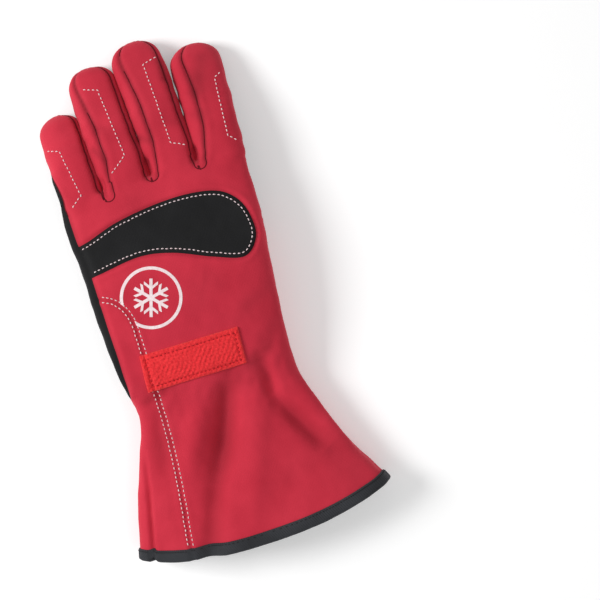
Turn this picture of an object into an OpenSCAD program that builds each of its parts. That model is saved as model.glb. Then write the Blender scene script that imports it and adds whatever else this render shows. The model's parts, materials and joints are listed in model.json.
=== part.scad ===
// Gauntlet-style ski glove for the left hand, lying palm down with the thumb folded under the palm.
// +X points to the thumb side, +Y to the fingertips and +Z out of the back of the hand.
// The origin is the middle of the flat underside of the gauntlet cuff.

/* [Cuff] */
// Width across the open end of the cuff
hem_w = 169; // [155:1:180]
// Distance from the origin to the hem, at its middle
hem_reach = 51.5; // [40:0.5:60]
// How far the hem's corners are drawn back towards the hand
hem_curve = 15; // [5:1:18]
// Height of the cuff at the hem
hem_h = 34; // [28:1:40]
// Width of the tape that binds the hem
binding_w = 6.5; // [3:0.5:8]
// Width of the elastic sewn inside the wrist
elastic_w = 6; // [4:0.5:8]
// Thickness of that elastic
elastic_t = 1.2; // [0.8:0.1:1.6]

/* [Hand] */
// Distance from the origin to the wrist, where the cuff bends
wrist_y = 38; // [32:1:44]
// Width at the wrist
wrist_w = 102; // [92:1:112]
// Height of the wrist
wrist_h = 26; // [24:1:30]
// Distance from the wrist to the finger roots
palm_len = 142; // [125:1:160]
// Width across the knuckles
knuckle_w = 116; // [113:1:126]
// Thickness of the glove over the middle of the palm
palm_t = 27; // [23:1:32]
// Bend of the wrist each way, in degrees
wrist_bend = 30; // [10:1:35]

/* [Fingers] */
// Thickness of every finger
finger_t = 17; // [15:0.5:19]
// Corner radius of a finger's section
finger_r = 6; // [4:0.5:7]
// Height of the fourchette strip that runs up each side of a finger
fourchette_h = 7; // [4:0.5:9]
// Bend of a finger root towards the palm, in degrees
root_flex = 60; // [30:1:70]
// Bend of a finger root towards the back of the hand, in degrees
root_extend = 10; // [0:1:15]
// Bend of a finger's middle joint, in degrees
middle_flex = 70; // [30:1:80]

/* [Thumb] */
// Width of the thumb
thumb_w = 33; // [28:1:34]
// Thickness of the folded thumb
thumb_t = 13; // [12:0.5:16]
// Corner radius of the thumb's section
thumb_r = 5; // [4:0.5:6]
// Distance from the thumb's root to its joint
thumb_root_len = 44; // [38:1:48]
// Distance from that joint to the thumb's tip
thumb_tip_len = 41; // [36:1:46]
// Radius of the round opening between the hand and the thumb
thumb_hole_r = 12; // [9:0.5:13]
// Bend of the thumb's tip away from the palm, in degrees
thumb_bend = 25; // [10:1:30]

/* [Layers and clearances] */
// Thickness of the outer shell
shell_t = 1.4; // [1:0.1:1.6]
// Thickness of the lining
liner_t = 2; // [1.4:0.1:2.2]
// Thickness of the patches
patch_t = 1; // [0.6:0.1:1.4]
// Gap between two faces that meet on a hinge line
hinge_gap = 0.4; // [0.3:0.05:0.6]
// Gap between the thumb and the collar that it turns under
collar_gap = 0.3; // [0.2:0.05:0.5]
// Room between the thumb and the patches over it
thumb_room = 1.5; // [1:0.1:2]

/* [Hidden] */
$fn = 48;
// Each finger: name, place of its root along X, width, yaw, length to its joint, length on to its tip
FINGERS = [
    ["index", 45.7, 27.6, 2.6, 33, 40],
    ["middle", 16.8, 28.8, -2.4, 39, 46],
    ["ring", -13.3, 28.6, -3.5, 36, 42.5],
    ["pinky", -42.5, 24.5, -1.6, 26, 30.5],
];
FINGER_NODES = ["back_lower", "palm_lower", "sides_lower", "liner_lower",
                "back_upper", "palm_upper", "sides_upper", "liner_upper", "tip_patch"];

red = [0.80, 0.16, 0.24];
black = [0.10, 0.10, 0.11];
grey = [0.43, 0.43, 0.44];
lining = [0.22, 0.22, 0.24];

wall_t = shell_t + liner_t;
root_y = wrist_y + palm_len;
// The palm's flat underside lies over the folded thumb and the patches
palm_z = thumb_t + thumb_room + patch_t;
// The hand is a little thicker than the fingers where they leave it
root_h = finger_t + 1;
knuckle_z = palm_z + root_h / 2;
wrist_z = 14;
// The heel of the hand rises from the cuff to the flat of the palm
heel_end = wrist_y + 40;
big = 200;

// Outline of the hand and cuff seen from above, and its underside and top seen from the side
function along(t) = wrist_y + t * palm_len;
left_edge = [[-hem_reach, -hem_w / 2 + 1], [0, -wrist_w / 2 - 15], [wrist_y, -wrist_w / 2 - 0.5],
             [along(0.25), -wrist_w / 2 - 4.2], [along(0.7), -wrist_w / 2 - 5], [along(0.87), -knuckle_w / 2],
             [root_y, -knuckle_w / 2 + 2]];
right_edge = [[-hem_reach, hem_w / 2 + 1], [0, wrist_w / 2 + 9.5], [wrist_y, wrist_w / 2 - 0.5],
              [along(0.4), wrist_w / 2 + 2], [along(0.7), knuckle_w / 2], [root_y, knuckle_w / 2 + 1.5]];
under = [[-hem_reach, 0], [wrist_y, 0], [heel_end, palm_z], [root_y, palm_z]];
over = [[-hem_reach, hem_h], [wrist_y, wrist_h], [along(0.3), palm_z + palm_t - 3],
        [along(0.5), palm_z + palm_t], [along(0.8), palm_z + palm_t - 2], [along(0.92), palm_z + root_h + 3],
        [root_y, palm_z + root_h]];
// How square the upper half of the section is: 2 is an ellipse
squareness = [[-hem_reach, 2.4], [along(0.7), 2.5], [root_y, 5]];

// The back of the hand is cut by the knuckle insert's lower and upper seams, given by angle round the section
insert_low = [[0, 126], [25, 116], [60, 122], [90, 131], [115, 135], [180, 131], [360, 126]];
insert_high = [[0, 142], [20, 151], [45, 159], [85, 162.5], [120, 159], [180, 151], [360, 142]];
insert_shift = root_y - 180;
// The loop-tape patch lies square across the back of the wrist
patch_low = wrist_y + 18;
patch_high = patch_low + 22;

// One point of the section at angle a and distance y along the hand, at depth d under the outer surface
function section(a, y, d) =
    let (xl = lookup(y, left_edge), xr = lookup(y, right_edge), zb = lookup(y, under), zt = lookup(y, over),
         w = (xr - xl) / 2 - d, h = (zt - zb) / 2 - d,
         n = sin(a) > 0 ? lookup(y, squareness) : 4,
         s = pow(abs(sin(a)), 2 / n))
    [(xl + xr) / 2 + w * sign(cos(a)) * pow(abs(cos(a)), 2 / n), y,
     (zb + zt) / 2 + (sin(a) > 0 ? h * s : -h * min(1, 1.25 * s))];

// Where the hand and cuff end at a hinge line: a wedge is left open on both sides of the axis
function wedge(a, y, d, z, low, high) =
    let (rise = section(a, y, d)[2] - z)
    hinge_gap / 2 + (rise > 0 ? rise * tan(high) : -rise * tan(low));
function hem_line(a) = -hem_reach + hem_curve * pow(cos(a), 2);

// The cuff's rows run from the hem to the wrist, the hand's from the wrist to the finger roots
cuff_stops = [0, 1, 6, 7, 8];
function cuff_rows(a, d) =
    [hem_line(a), hem_line(a) + binding_w, wrist_y - 7 - elastic_w, wrist_y - 7,
     wrist_y - wedge(a, wrist_y, d, wrist_z, wrist_bend / 2 + 0.5, wrist_bend / 2 + 0.5)];
hand_stops = [0, 1, 2, 5, 8, 10];
function hand_rows(a, d) =
    [wrist_y + wedge(a, wrist_y, d, wrist_z, wrist_bend / 2 + 0.5, wrist_bend / 2 + 0.5),
     patch_low, patch_high, lookup(a, insert_low) + insert_shift, lookup(a, insert_high) + insert_shift,
     root_y - wedge(a, root_y, d, knuckle_z, root_flex / 2, root_extend / 2)];
function row_y(rows, stops, j) = lookup(j, [for (k = [0:len(stops) - 1]) [stops[k], rows[k]]]);

columns = 36;
cuff_point = function(i, j, d)
    let (a = i * 360 / columns) section(a, row_y(cuff_rows(a, d), cuff_stops, j), d);
hand_point = function(i, j, d)
    let (a = i * 360 / columns) section(a, row_y(hand_rows(a, d), hand_stops, j), d);

// A sheet between depths d0 and d1 over the cells (i, j) that inside() picks, closed by walls at its edges
module sheet(point, rows, d0, d1, inside) {
    layer = columns * (rows + 1);
    function id(i, j, k) = (i + columns) % columns + j * columns + k * layer;
    function cell(i, j) = j >= 0 && j < rows && inside((i + columns) % columns, j);
    points = [for (k = [0, 1], j = [0:rows], i = [0:columns - 1]) point(i, j, k == 0 ? d0 : d1)];
    faces = [for (j = [0:rows - 1], i = [0:columns - 1]) if (cell(i, j)) each concat(
        [[id(i, j, 0), id(i + 1, j + 1, 0), id(i + 1, j, 0)], [id(i, j, 0), id(i, j + 1, 0), id(i + 1, j + 1, 0)],
         [id(i, j, 1), id(i + 1, j, 1), id(i + 1, j + 1, 1)], [id(i, j, 1), id(i + 1, j + 1, 1), id(i, j + 1, 1)]],
        cell(i, j - 1) ? [] :
            [[id(i, j, 0), id(i + 1, j, 0), id(i + 1, j, 1)], [id(i, j, 0), id(i + 1, j, 1), id(i, j, 1)]],
        cell(i, j + 1) ? [] :
            [[id(i, j + 1, 0), id(i + 1, j + 1, 1), id(i + 1, j + 1, 0)],
             [id(i, j + 1, 0), id(i, j + 1, 1), id(i + 1, j + 1, 1)]],
        cell(i - 1, j) ? [] :
            [[id(i, j, 0), id(i, j + 1, 1), id(i, j + 1, 0)], [id(i, j, 0), id(i, j, 1), id(i, j + 1, 1)]],
        cell(i + 1, j) ? [] :
            [[id(i + 1, j, 0), id(i + 1, j + 1, 0), id(i + 1, j + 1, 1)],
             [id(i + 1, j, 0), id(i + 1, j + 1, 1), id(i + 1, j, 1)]])];
    polyhedron(points, faces);
}

// Seam columns round the section: the back runs from back_from to gore_from, the gore on to side,
// and the palm side from there; the red thenar panel covers the thumb side of the palm
back_from = 1;
insert_from = 2;
gore_from = 13;
side = 18;
thenar_from = 29;
hand_cells = hand_stops[5];
insert_cell = hand_stops[3];
insert_end = hand_stops[4];
cuff_cells = cuff_stops[4];

module hand_sheet(d0, d1, inside) { sheet(hand_point, hand_cells, d0, d1, inside); }
module cuff_sheet(d0, d1, inside) { sheet(cuff_point, cuff_cells, d0, d1, inside); }

thumb_root = [28, wrist_y + 60];
thumb_yaw = 25.5;
module thumb_opening() {
    translate([thumb_root[0], thumb_root[1], 0]) cylinder(r = thumb_hole_r, h = knuckle_z);
}

module hand_back_panel() {
    color(red) hand_sheet(0, shell_t, function(i, j)
        i >= back_from && i < (j < insert_cell ? gore_from : j < insert_end ? insert_from : side));
}
module knuckle_insert() {
    color(black) hand_sheet(0, shell_t, function(i, j)
        i >= insert_from && i < side && j >= insert_cell && j < insert_end);
}
module hand_side_gore() {
    color(red) hand_sheet(0, shell_t, function(i, j) i >= gore_from && i < side && j < insert_cell);
}
module hand_palm_panel() {
    color(black) difference() {
        hand_sheet(0, shell_t, function(i, j)
            (i >= side && i < thenar_from) || (j >= insert_cell && (i >= side || i < back_from)));
        thumb_opening();
    }
}
module thenar_panel() {
    color(red) difference() {
        hand_sheet(0, shell_t, function(i, j) j < insert_cell && (i >= thenar_from || i < back_from));
        thumb_opening();
    }
}
module hand_liner() {
    color(lining) difference() {
        hand_sheet(shell_t, wall_t, function(i, j) true);
        thumb_opening();
    }
}

module wrist_patch() {
    color([0.9, 0.22, 0.25]) hand_sheet(-patch_t, 0, function(i, j) i >= 7 && i < 14 && j == 1);
}

// Everything on the hand's side of the line of the knuckles
module before_knuckles() {
    translate([0, root_y, knuckle_z]) before(0, root_flex / 2, root_extend / 2, finger_t, knuckle_w);
}

// Suede patches lie flat against the underside of the palm, and stop where a bent finger comes down
main_overlay = [[-44, 33], [-34, 32], [-18, 31], [-6, 39], [-1, 61], [0, 71], [-12, 100], [-20, 118], [-23, 131],
                [-28, 128], [-31, 124], [-39, 127], [-44, 130], [-46, 104], [-42, 83], [-45, 59]];
index_overlay = [[17, 126], [24, 125.5], [30, 131.5], [33, 134], [46, 134], [47, 113], [46, 102], [40, 98],
                 [33, 101], [20, 118]];
module overlay_plate(outline) {
    translate([0, wrist_y + 8, palm_z - patch_t]) linear_extrude(patch_t) polygon(outline);
}
module palm_overlay() {
    color(grey) intersection() {
        union() {
            overlay_plate(main_overlay);
            overlay_plate(index_overlay);
        }
        before_knuckles();
    }
}

// A web gusset closes the gap between two neighbouring fingers, up to the side walls of both
gusset_l = 12;
gusset_top_gap = 1.2;
module web_gussets() {
    color(red) for (k = [0:2]) {
        near = FINGERS[k];
        far = FINGERS[k + 1];
        from = far[1] + far[2] / 2 - shell_t;
        to = near[1] - near[2] / 2 + shell_t;
        intersection() {
            translate([from, root_y - gusset_l, palm_z + wall_t])
                cube([to - from, gusset_l, root_h - 2 * wall_t - gusset_top_gap]);
            before_knuckles();
        }
    }
}

// The collar lines the round opening over the thumb's root, and the thumb turns under it
module thumb_collar() {
    color(black) translate([thumb_root[0], thumb_root[1], thumb_t + collar_gap]) difference() {
        cylinder(r = thumb_hole_r, h = palm_z + wall_t - thumb_t - collar_gap);
        translate([0, 0, -1]) cylinder(r = thumb_hole_r - shell_t, h = big);
    }
}

module cuff_back_panel() {
    color(red) cuff_sheet(0, shell_t, function(i, j) i >= back_from && i < gore_from && j >= 1);
}
module cuff_side_gore() {
    color(red) cuff_sheet(0, shell_t, function(i, j) i >= gore_from && i < side && j >= 1);
}
module cuff_palm_panel() {
    color(red) cuff_sheet(0, shell_t, function(i, j) (i >= side || i < back_from) && j >= 1);
}
module hem_binding() { color(black) cuff_sheet(0, wall_t, function(i, j) j == 0); }
module cuff_liner() { color(lining) cuff_sheet(shell_t, wall_t, function(i, j) j >= 1); }
module wrist_elastic() {
    color("white") cuff_sheet(wall_t, wall_t + elastic_t, function(i, j)
        i >= side + 1 && i < columns - 1 && j == cuff_stops[2]);
}

// Section of a finger or the thumb, inset by d
module rounded(w, t, r, d) {
    square([w - 2 * r, t - 2 * d], center = true);
    square([w - 2 * d, t - 2 * r], center = true);
    for (x = [-1, 1], y = [-1, 1]) translate([x * (w / 2 - r), y * (t / 2 - r)]) circle(r = r - d);
}
// A bar of that section along +Y from y0 to y1
module bar(w, t, r, d, y0, y1) {
    translate([0, y1, 0]) rotate([90, 0, 0]) linear_extrude(y1 - y0) rounded(w, t, r, d);
}
// Half a round puck of the same section, on the +Y side of its centre
module half_puck(w, t, r, d) {
    rotate_extrude(angle = 180) intersection() {
        rounded(w, t, r, d);
        translate([0, -t]) square([w, 2 * t]);
    }
}
// Everything between two side outlines given as [y, z] points
module profile(points, w) {
    translate([-w, 0, 0]) rotate([90, 0, 90]) linear_extrude(2 * w) polygon(points);
}
// Room beyond a hinge line at y, where the faces lean back by low under the axis and by high over it
module beyond(y, low, high, h, w) {
    g = hinge_gap / 2;
    profile([[y + g + h * tan(low), -h], [y + g, 0], [y + g + h * tan(high), h], [y + big, h], [y + big, -h]], w);
}
module before(y, low, high, h, w) { translate([0, y, 0]) mirror([0, 1, 0]) beyond(0, low, high, h, w); }
// The slices of a tube: its back, its two sides and its palm, split at the fourchette's edges
module slice(part, t, h) {
    if (part == "back") translate([-big / 2, -big / 2, h / 2]) cube([big, big, t]);
    if (part == "palm") translate([-big / 2, -big / 2, -h / 2 - t]) cube([big, big, t]);
    if (part == "sides") translate([-big / 2, -big / 2, -h / 2]) cube([big, big, h]);
}

// How far a finger pitches down, so that its tip comes down close to the surface
tip_gap = 0.3;
function straight(f) = f[5] - f[2] / 2;
function pitch(f) = asin((knuckle_z - finger_t / 2 - tip_gap) / (f[4] + 2 * (f[5] - finger_r)));
function middle_half(f) = (middle_flex + pitch(f)) / 2 + 0.5;
module at_root(f) { translate([f[1], root_y, knuckle_z]) children(); }
module at_lower(f) { at_root(f) rotate([0, 0, -f[3]]) rotate([-pitch(f), 0, 0]) children(); }
module at_upper(f) { at_lower(f) translate([0, f[4], 0]) rotate([-pitch(f), 0, 0]) children(); }

run_back = 12;
module finger_lower(f, part, d0, d1) {
    intersection() {
        at_lower(f) intersection() {
            difference() {
                bar(f[2], finger_t, finger_r, d0, -run_back, f[4]);
                bar(f[2], finger_t, finger_r, d1, -run_back - 1, f[4] + 1);
            }
            before(f[4], middle_half(f), 0, finger_t, f[2]);
            if (part != "liner") slice(part, finger_t, fourchette_h);
        }
        at_root(f) beyond(0, root_flex / 2, root_extend / 2, 2 * finger_t, f[2]);
    }
}
module finger_upper(f, part, d0, d1) {
    at_upper(f) intersection() {
        difference() {
            union() {
                bar(f[2], finger_t, finger_r, d0, 0, straight(f));
                translate([0, straight(f), 0]) half_puck(f[2], finger_t, finger_r, d0);
            }
            bar(f[2], finger_t, finger_r, d1, -1, straight(f));
            translate([0, straight(f), 0]) half_puck(f[2], finger_t, finger_r, d1);
        }
        beyond(0, middle_half(f), 0, finger_t, f[2]);
        if (part != "liner") slice(part, finger_t, fourchette_h);
    }
}
// The grip patch under each fingertip
patch_w = 12.5;
patch_start = 9;
patch_corner = 2;
module tip_patch(f) {
    color(grey) at_upper(f) translate([0, 0, -finger_t / 2 - patch_t]) linear_extrude(patch_t) {
        l = straight(f) - patch_start;
        translate([-patch_w / 2 + patch_corner, patch_start]) square([patch_w - 2 * patch_corner, l]);
        translate([-patch_w / 2, patch_start + patch_corner]) square([patch_w, l - 2 * patch_corner]);
        for (x = [-1, 1], y = [patch_start + patch_corner, patch_start + l - patch_corner])
            translate([x * (patch_w / 2 - patch_corner), y]) circle(r = patch_corner);
    }
}
module finger(f, part) {
    if (part == "back_lower") color(red) finger_lower(f, "back", 0, shell_t);
    if (part == "palm_lower") color(black) finger_lower(f, "palm", 0, shell_t);
    if (part == "sides_lower") color(red) finger_lower(f, "sides", 0, shell_t);
    if (part == "liner_lower") color(lining) finger_lower(f, "liner", shell_t, wall_t);
    if (part == "back_upper") color(red) finger_upper(f, "back", 0, shell_t);
    if (part == "palm_upper") color(black) finger_upper(f, "palm", 0, shell_t);
    if (part == "sides_upper") color(red) finger_upper(f, "sides", 0, shell_t);
    if (part == "liner_upper") color(lining) finger_upper(f, "liner", shell_t, wall_t);
    if (part == "tip_patch") tip_patch(f);
}

// The thumb lies flat under the palm. Its palm half faces up, and its back half rests on the surface.
module at_thumb() {
    translate([thumb_root[0], thumb_root[1], thumb_t / 2]) rotate([0, 0, thumb_yaw]) children();
}
thumb_half = thumb_bend / 2;
module thumb_lower(part, d0, d1) {
    at_thumb() intersection() {
        difference() {
            union() {
                bar(thumb_w, thumb_t, thumb_r, d0, 0, thumb_root_len);
                mirror([0, 1, 0]) half_puck(thumb_w, thumb_t, thumb_r, d0);
            }
            bar(thumb_w, thumb_t, thumb_r, d1, 0, thumb_root_len + 1);
            mirror([0, 1, 0]) half_puck(thumb_w, thumb_t, thumb_r, d1);
            cylinder(r = thumb_hole_r - shell_t, h = thumb_t);
        }
        before(thumb_root_len, thumb_half, 0, thumb_t, thumb_w);
        if (part != "liner") slice(part, thumb_t, 0);
    }
}
module thumb_upper(part, d0, d1) {
    l = thumb_tip_len - thumb_w / 2;
    at_thumb() translate([0, thumb_root_len, 0]) intersection() {
        difference() {
            union() {
                bar(thumb_w, thumb_t, thumb_r, d0, 0, l);
                translate([0, l, 0]) half_puck(thumb_w, thumb_t, thumb_r, d0);
            }
            bar(thumb_w, thumb_t, thumb_r, d1, -1, l);
            translate([0, l, 0]) half_puck(thumb_w, thumb_t, thumb_r, d1);
        }
        beyond(0, thumb_half, 0, thumb_t, thumb_w);
        if (part != "liner") slice(part, thumb_t, 0);
    }
}
// The palm half of the thumb is the upper one
module thumb_palm_lower() { color(red) thumb_lower("back", 0, shell_t); }
module thumb_back_lower() { color(red) thumb_lower("palm", 0, shell_t); }
module thumb_liner_lower() { color(lining) thumb_lower("liner", shell_t, wall_t); }
module thumb_palm_upper() { color(black) thumb_upper("back", 0, shell_t); }
module thumb_back_upper() { color(red) thumb_upper("palm", 0, shell_t); }
module thumb_liner_upper() { color(lining) thumb_upper("liner", shell_t, wall_t); }

hand_back_panel();
knuckle_insert();
hand_side_gore();
hand_palm_panel();
thenar_panel();
palm_overlay();
web_gussets();
thumb_collar();
hand_liner();
wrist_patch();
cuff_back_panel();
cuff_side_gore();
cuff_palm_panel();
hem_binding();
wrist_elastic();
cuff_liner();
thumb_palm_lower();
thumb_back_lower();
thumb_liner_lower();
thumb_palm_upper();
thumb_back_upper();
thumb_liner_upper();
for (f = FINGERS, part = FINGER_NODES)
    finger(f, part);
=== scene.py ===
"""Left-hand ski glove: the sewn shell, patches, binding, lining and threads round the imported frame.

Lengths are in millimetres until a mesh is made. +X is the thumb side, +Y the fingertips and +Z the back of
the hand. The shell is one smooth skin: tubes are joined and remeshed, seams and folds are pressed into it,
and it is then cut along its seam lines into the sewn panels.
"""
import json
import math

import bpy
import numpy as np
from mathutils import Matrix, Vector
from mathutils.bvhtree import BVHTree


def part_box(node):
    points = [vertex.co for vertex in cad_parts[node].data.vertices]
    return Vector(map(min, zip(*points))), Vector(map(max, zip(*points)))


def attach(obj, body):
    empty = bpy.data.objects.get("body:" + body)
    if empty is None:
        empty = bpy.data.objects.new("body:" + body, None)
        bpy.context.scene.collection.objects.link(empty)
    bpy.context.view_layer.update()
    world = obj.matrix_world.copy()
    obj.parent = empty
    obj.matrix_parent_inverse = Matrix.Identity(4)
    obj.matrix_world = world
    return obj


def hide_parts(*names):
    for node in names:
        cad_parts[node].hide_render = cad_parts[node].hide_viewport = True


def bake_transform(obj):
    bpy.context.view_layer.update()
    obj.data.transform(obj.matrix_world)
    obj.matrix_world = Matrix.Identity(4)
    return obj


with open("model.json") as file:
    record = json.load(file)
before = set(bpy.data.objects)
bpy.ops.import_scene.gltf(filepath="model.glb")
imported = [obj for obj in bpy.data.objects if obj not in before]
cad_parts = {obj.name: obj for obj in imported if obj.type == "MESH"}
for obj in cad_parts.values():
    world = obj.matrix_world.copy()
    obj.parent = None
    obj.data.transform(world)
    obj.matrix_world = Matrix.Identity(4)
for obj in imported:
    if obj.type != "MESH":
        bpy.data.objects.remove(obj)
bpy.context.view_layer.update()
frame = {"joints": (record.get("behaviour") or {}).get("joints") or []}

MM = 0.001
VOXEL = 1.0
random = np.random.default_rng(11)
JOINTS = {j["name"]: j for j in frame["joints"]}


def place(joint):
    """A joint's place in millimetres."""
    return np.array(JOINTS[joint]["pos_m"]) / MM


# ---------------------------------------------------------------- curves and distances

def smooth_curve(points):
    """A smooth function of t through the points (t, value, ...)."""
    points = np.array(points, float)
    t, value = points[:, 0], points[:, 1:]
    slope = np.gradient(value, t, axis=0)

    def at(x):
        x = np.clip(np.asarray(x, float), t[0], t[-1])
        i = np.clip(np.searchsorted(t, x, side="right") - 1, 0, len(t) - 2)
        h = (t[i + 1] - t[i])[..., None]
        s = (x - t[i])[..., None] / h
        return ((2 * s**3 - 3 * s**2 + 1) * value[i] + (s**3 - 2 * s**2 + s) * h * slope[i]
                + (3 * s**2 - 2 * s**3) * value[i + 1] + (s**3 - s**2) * h * slope[i + 1])
    return at


def rounded_path(points, closed=False, step=2.0):
    """Points about step apart on a smooth line through the given ones."""
    p = np.array(points, float)
    n = len(p)
    out = []
    for i in range(n if closed else n - 1):
        if closed:
            a, b, c, d = (p[(i + k) % n] for k in (-1, 0, 1, 2))
        else:
            a, b, c, d = (p[min(max(i + k, 0), n - 1)] for k in (-1, 0, 1, 2))
        count = max(2, int(np.linalg.norm(c - b) / step))
        for s in np.arange(count)[:, None] / count:
            out.append(0.5 * (2 * b + (c - a) * s + (2 * a - 5 * b + 4 * c - d) * s**2
                              + (3 * b - a - 3 * c + d) * s**3)[None])
    if not closed:
        out.append(p[-1][None])
    return np.concatenate([o.reshape(-1, p.shape[1]) for o in out])


def line_distance(xy, path, closed=False):
    """Distance of each point to a path, and how far along the path its nearest point is."""
    ends = np.roll(path, -1, axis=0) if closed else path[1:]
    best = np.full(len(xy), 1e9)
    along = np.zeros(len(xy))
    travelled = 0.0
    for a, b in zip(path, ends):
        d = b - a
        length = np.linalg.norm(d)
        if length < 1e-9:
            continue
        t = np.clip((xy - a) @ d / length**2, 0, 1)
        gap = np.linalg.norm(xy - (a + t[:, None] * d), axis=1)
        closer = gap < best
        best[closer] = gap[closer]
        along[closer] = travelled + t[closer] * length
        travelled += length
    return best, along


def inside_distance(xy, outline):
    """Distance to a closed outline, positive inside it."""
    far = np.roll(outline, -1, axis=0)
    x, y = xy[:, 0], xy[:, 1]
    odd = np.zeros(len(xy), bool)
    for (ax, ay), (bx, by) in zip(outline, far):
        if ay == by:
            continue
        crosses = (ay > y) != (by > y)
        odd ^= crosses & (x < (bx - ax) * (y - ay) / (by - ay) + ax)
    return np.where(odd, 1, -1) * line_distance(xy, outline, closed=True)[0]


def bump(x, width):
    """A smooth hill of height 1 at zero."""
    return np.exp(-(x / width) ** 2)


def step(x, a, b):
    """A smooth rise from 0 at a to 1 at b."""
    t = np.clip((x - a) / (b - a), 0, 1)
    return t * t * (3 - 2 * t)


def unit(ways):
    """The same directions with a length of 1."""
    return ways / np.maximum(np.linalg.norm(ways, axis=1, keepdims=True), 1e-12)


def ripples(points, scale, waves=7):
    """Smooth noise from a few random waves about scale long."""
    total = np.zeros(len(points))
    for _ in range(waves):
        turn = random.normal(size=3)
        turn *= 2 * math.pi / (scale * random.uniform(0.7, 1.5) * np.linalg.norm(turn))
        total += np.sin(points @ turn + random.uniform(0, 2 * math.pi))
    return total / math.sqrt(waves)


# ---------------------------------------------------------------- shape of the glove

# Place along Y, left edge, right edge, underside and top of the hand and its gauntlet
HAND = smooth_curve([
    (-62, -84, 90, 1.6, 36), (-39, -77.5, 81.5, 1.6, 34), (-20, -72.6, 71.5, 1.6, 31.5),
    (4, -65, 60.5, 1.6, 28.5), (22, -57.8, 54, 1.8, 26.8), (38, -51.6, 50.2, 2.2, 27),
    (48, -51.6, 49.6, 5, 30.5), (62, -54, 50.2, 11, 35.5), (80, -55.5, 51.6, 15.7, 39.5),
    (109, -56.4, 54.6, 15.7, 42.5), (140, -56.8, 58.6, 15.7, 41), (160, -57.8, 58.6, 15.7, 37.6),
    (176, -57.2, 59.2, 15.7, 34.2), (186, -56.6, 59.6, 15.7, 33)])
# How square the sections are; 2 is an ellipse
HAND_SHARP, FINGER_SHARP, THUMB_SHARP = 2.7, 2.35, 2.6
# The hem's middle, how far its ends curve up over how wide a half, and where its middle is along X
HEM_Y, HEM_LIFT, HEM_HALF, HEM_X = -51.5, 12.5, 80, 2.5
# How far inside the binding the shell is cut off
HEM_TUCK = 1.2
# Where the hand's own tube ends, among the roots of the fingers
HAND_END = 180.5
# The lowest that the skin lies, so that the binding round it still clears the floor
LOWEST = 1.2
# Half the thickness of a finger
FINGER_HIGH = 8.6
THUMB_AT = place("thumb_swing")
THUMB_JOINT = place("thumb_tip_bend")
# The lowest point of each slot between two fingers; the U-shaped seam round it is a little to its right
WEBS = [(-27.4, 172.6), (1.4, 176.2), (31.2, 174.2)]
WEB_R, WEB_SHIFT = 3.8, 1.2
# How far a finger's side goes past the middle of the slot beside it, how much further near one place along
# the hand and over what length, and the widths of the slot between which that fades out
TOUCH, TOUCH_MORE, TOUCH_Y, TOUCH_LONG = 0.12, 0.6, 189, 13
SLOT_CLOSE, SLOT_OPEN = 2.6, 6.5


def wrist_line(x):
    """Y of the middle of the elastic, at x."""
    return 36 - 0.05 * x


def hem(x):
    """Y of the hem at x."""
    return HEM_Y + HEM_LIFT * np.abs((x - HEM_X) / HEM_HALF) ** 2.4


class Finger:
    """A finger's centre line, from its two joints, and its half widths before and after it is filled out."""

    def __init__(self, name, raw_half, half, shift=0.0):
        self.name, self.raw_half, self.half = name, raw_half, half
        self.root = place(name + "_root") + [shift, 0, 0]
        self.joint = place(name + "_middle") + [shift, 0, 0]
        run = self.joint - self.root
        self.lower = np.linalg.norm(run)
        self.yaw = math.atan2(run[0], run[1])
        self.pitch = math.asin(-run[2] / self.lower)
        tip_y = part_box(name + "_back_upper")[1].y / MM + 0.4
        self.upper = (tip_y - self.joint[1]) / self.heading(2 * self.pitch)[1]
        self.length = self.lower + self.upper
        self.side = np.array([math.cos(self.yaw), -math.sin(self.yaw), 0])

    def heading(self, pitch):
        """The finger's direction when it slopes down by an angle."""
        flat = math.cos(pitch)
        return np.array([math.sin(self.yaw) * flat, math.cos(self.yaw) * flat, -math.sin(pitch)])

    def ahead(self, flat):
        """How far ahead of the root each place is, seen from above."""
        return flat[:, 0] * math.sin(self.yaw) + flat[:, 1] * math.cos(self.yaw)

    def centre(self, v):
        """Point on the centre line at distance v from the root, rounded where the finger bends."""
        v = np.asarray(v, float)[..., None]
        soft = 8.0
        first, second = self.heading(self.pitch), self.heading(2 * self.pitch)
        back = self.heading(0)
        over_root = soft * np.logaddexp(0, v / soft * 3) / 3
        over_joint = soft * np.logaddexp(0, (v - self.lower) / soft * 3) / 3
        return self.root + v * back + over_root * (first - back) + over_joint * (second - first)

    def local(self, points):
        """Each point's place across, along and above the finger's centre line."""
        along = self.ahead(points - self.root)
        v = along.copy()
        for _ in range(3):
            v += along - self.ahead(self.centre(v) - self.root)
        centre = self.centre(v)
        return (points - centre) @ self.side, v, points[:, 2] - centre[:, 2]


FINGERS = [Finger("index", 13.1, 15.1), Finger("middle", 13.5, 15.1), Finger("ring", 13.4, 15.0, -0.2),
           Finger("pinky", 12.1, 13.2, -0.5)]


def lean(k, way, y):
    """How much further out finger k's side goes, to touch its neighbour's while the two are close."""
    other = k - way
    if not 0 <= other < len(FINGERS):
        return np.zeros(len(y))
    edges = []
    for g, side in ((FINGERS[k], way), (FINGERS[other], -way)):
        edges.append(g.root[0] + (y - g.root[1]) * math.tan(g.yaw) + side * g.half / math.cos(g.yaw))
    gap = way * (edges[1] - edges[0])
    past = TOUCH + TOUCH_MORE * bump(y - TOUCH_Y, TOUCH_LONG)
    return (gap / 2 + past) * (1 - step(gap, SLOT_CLOSE, SLOT_OPEN))


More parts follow.
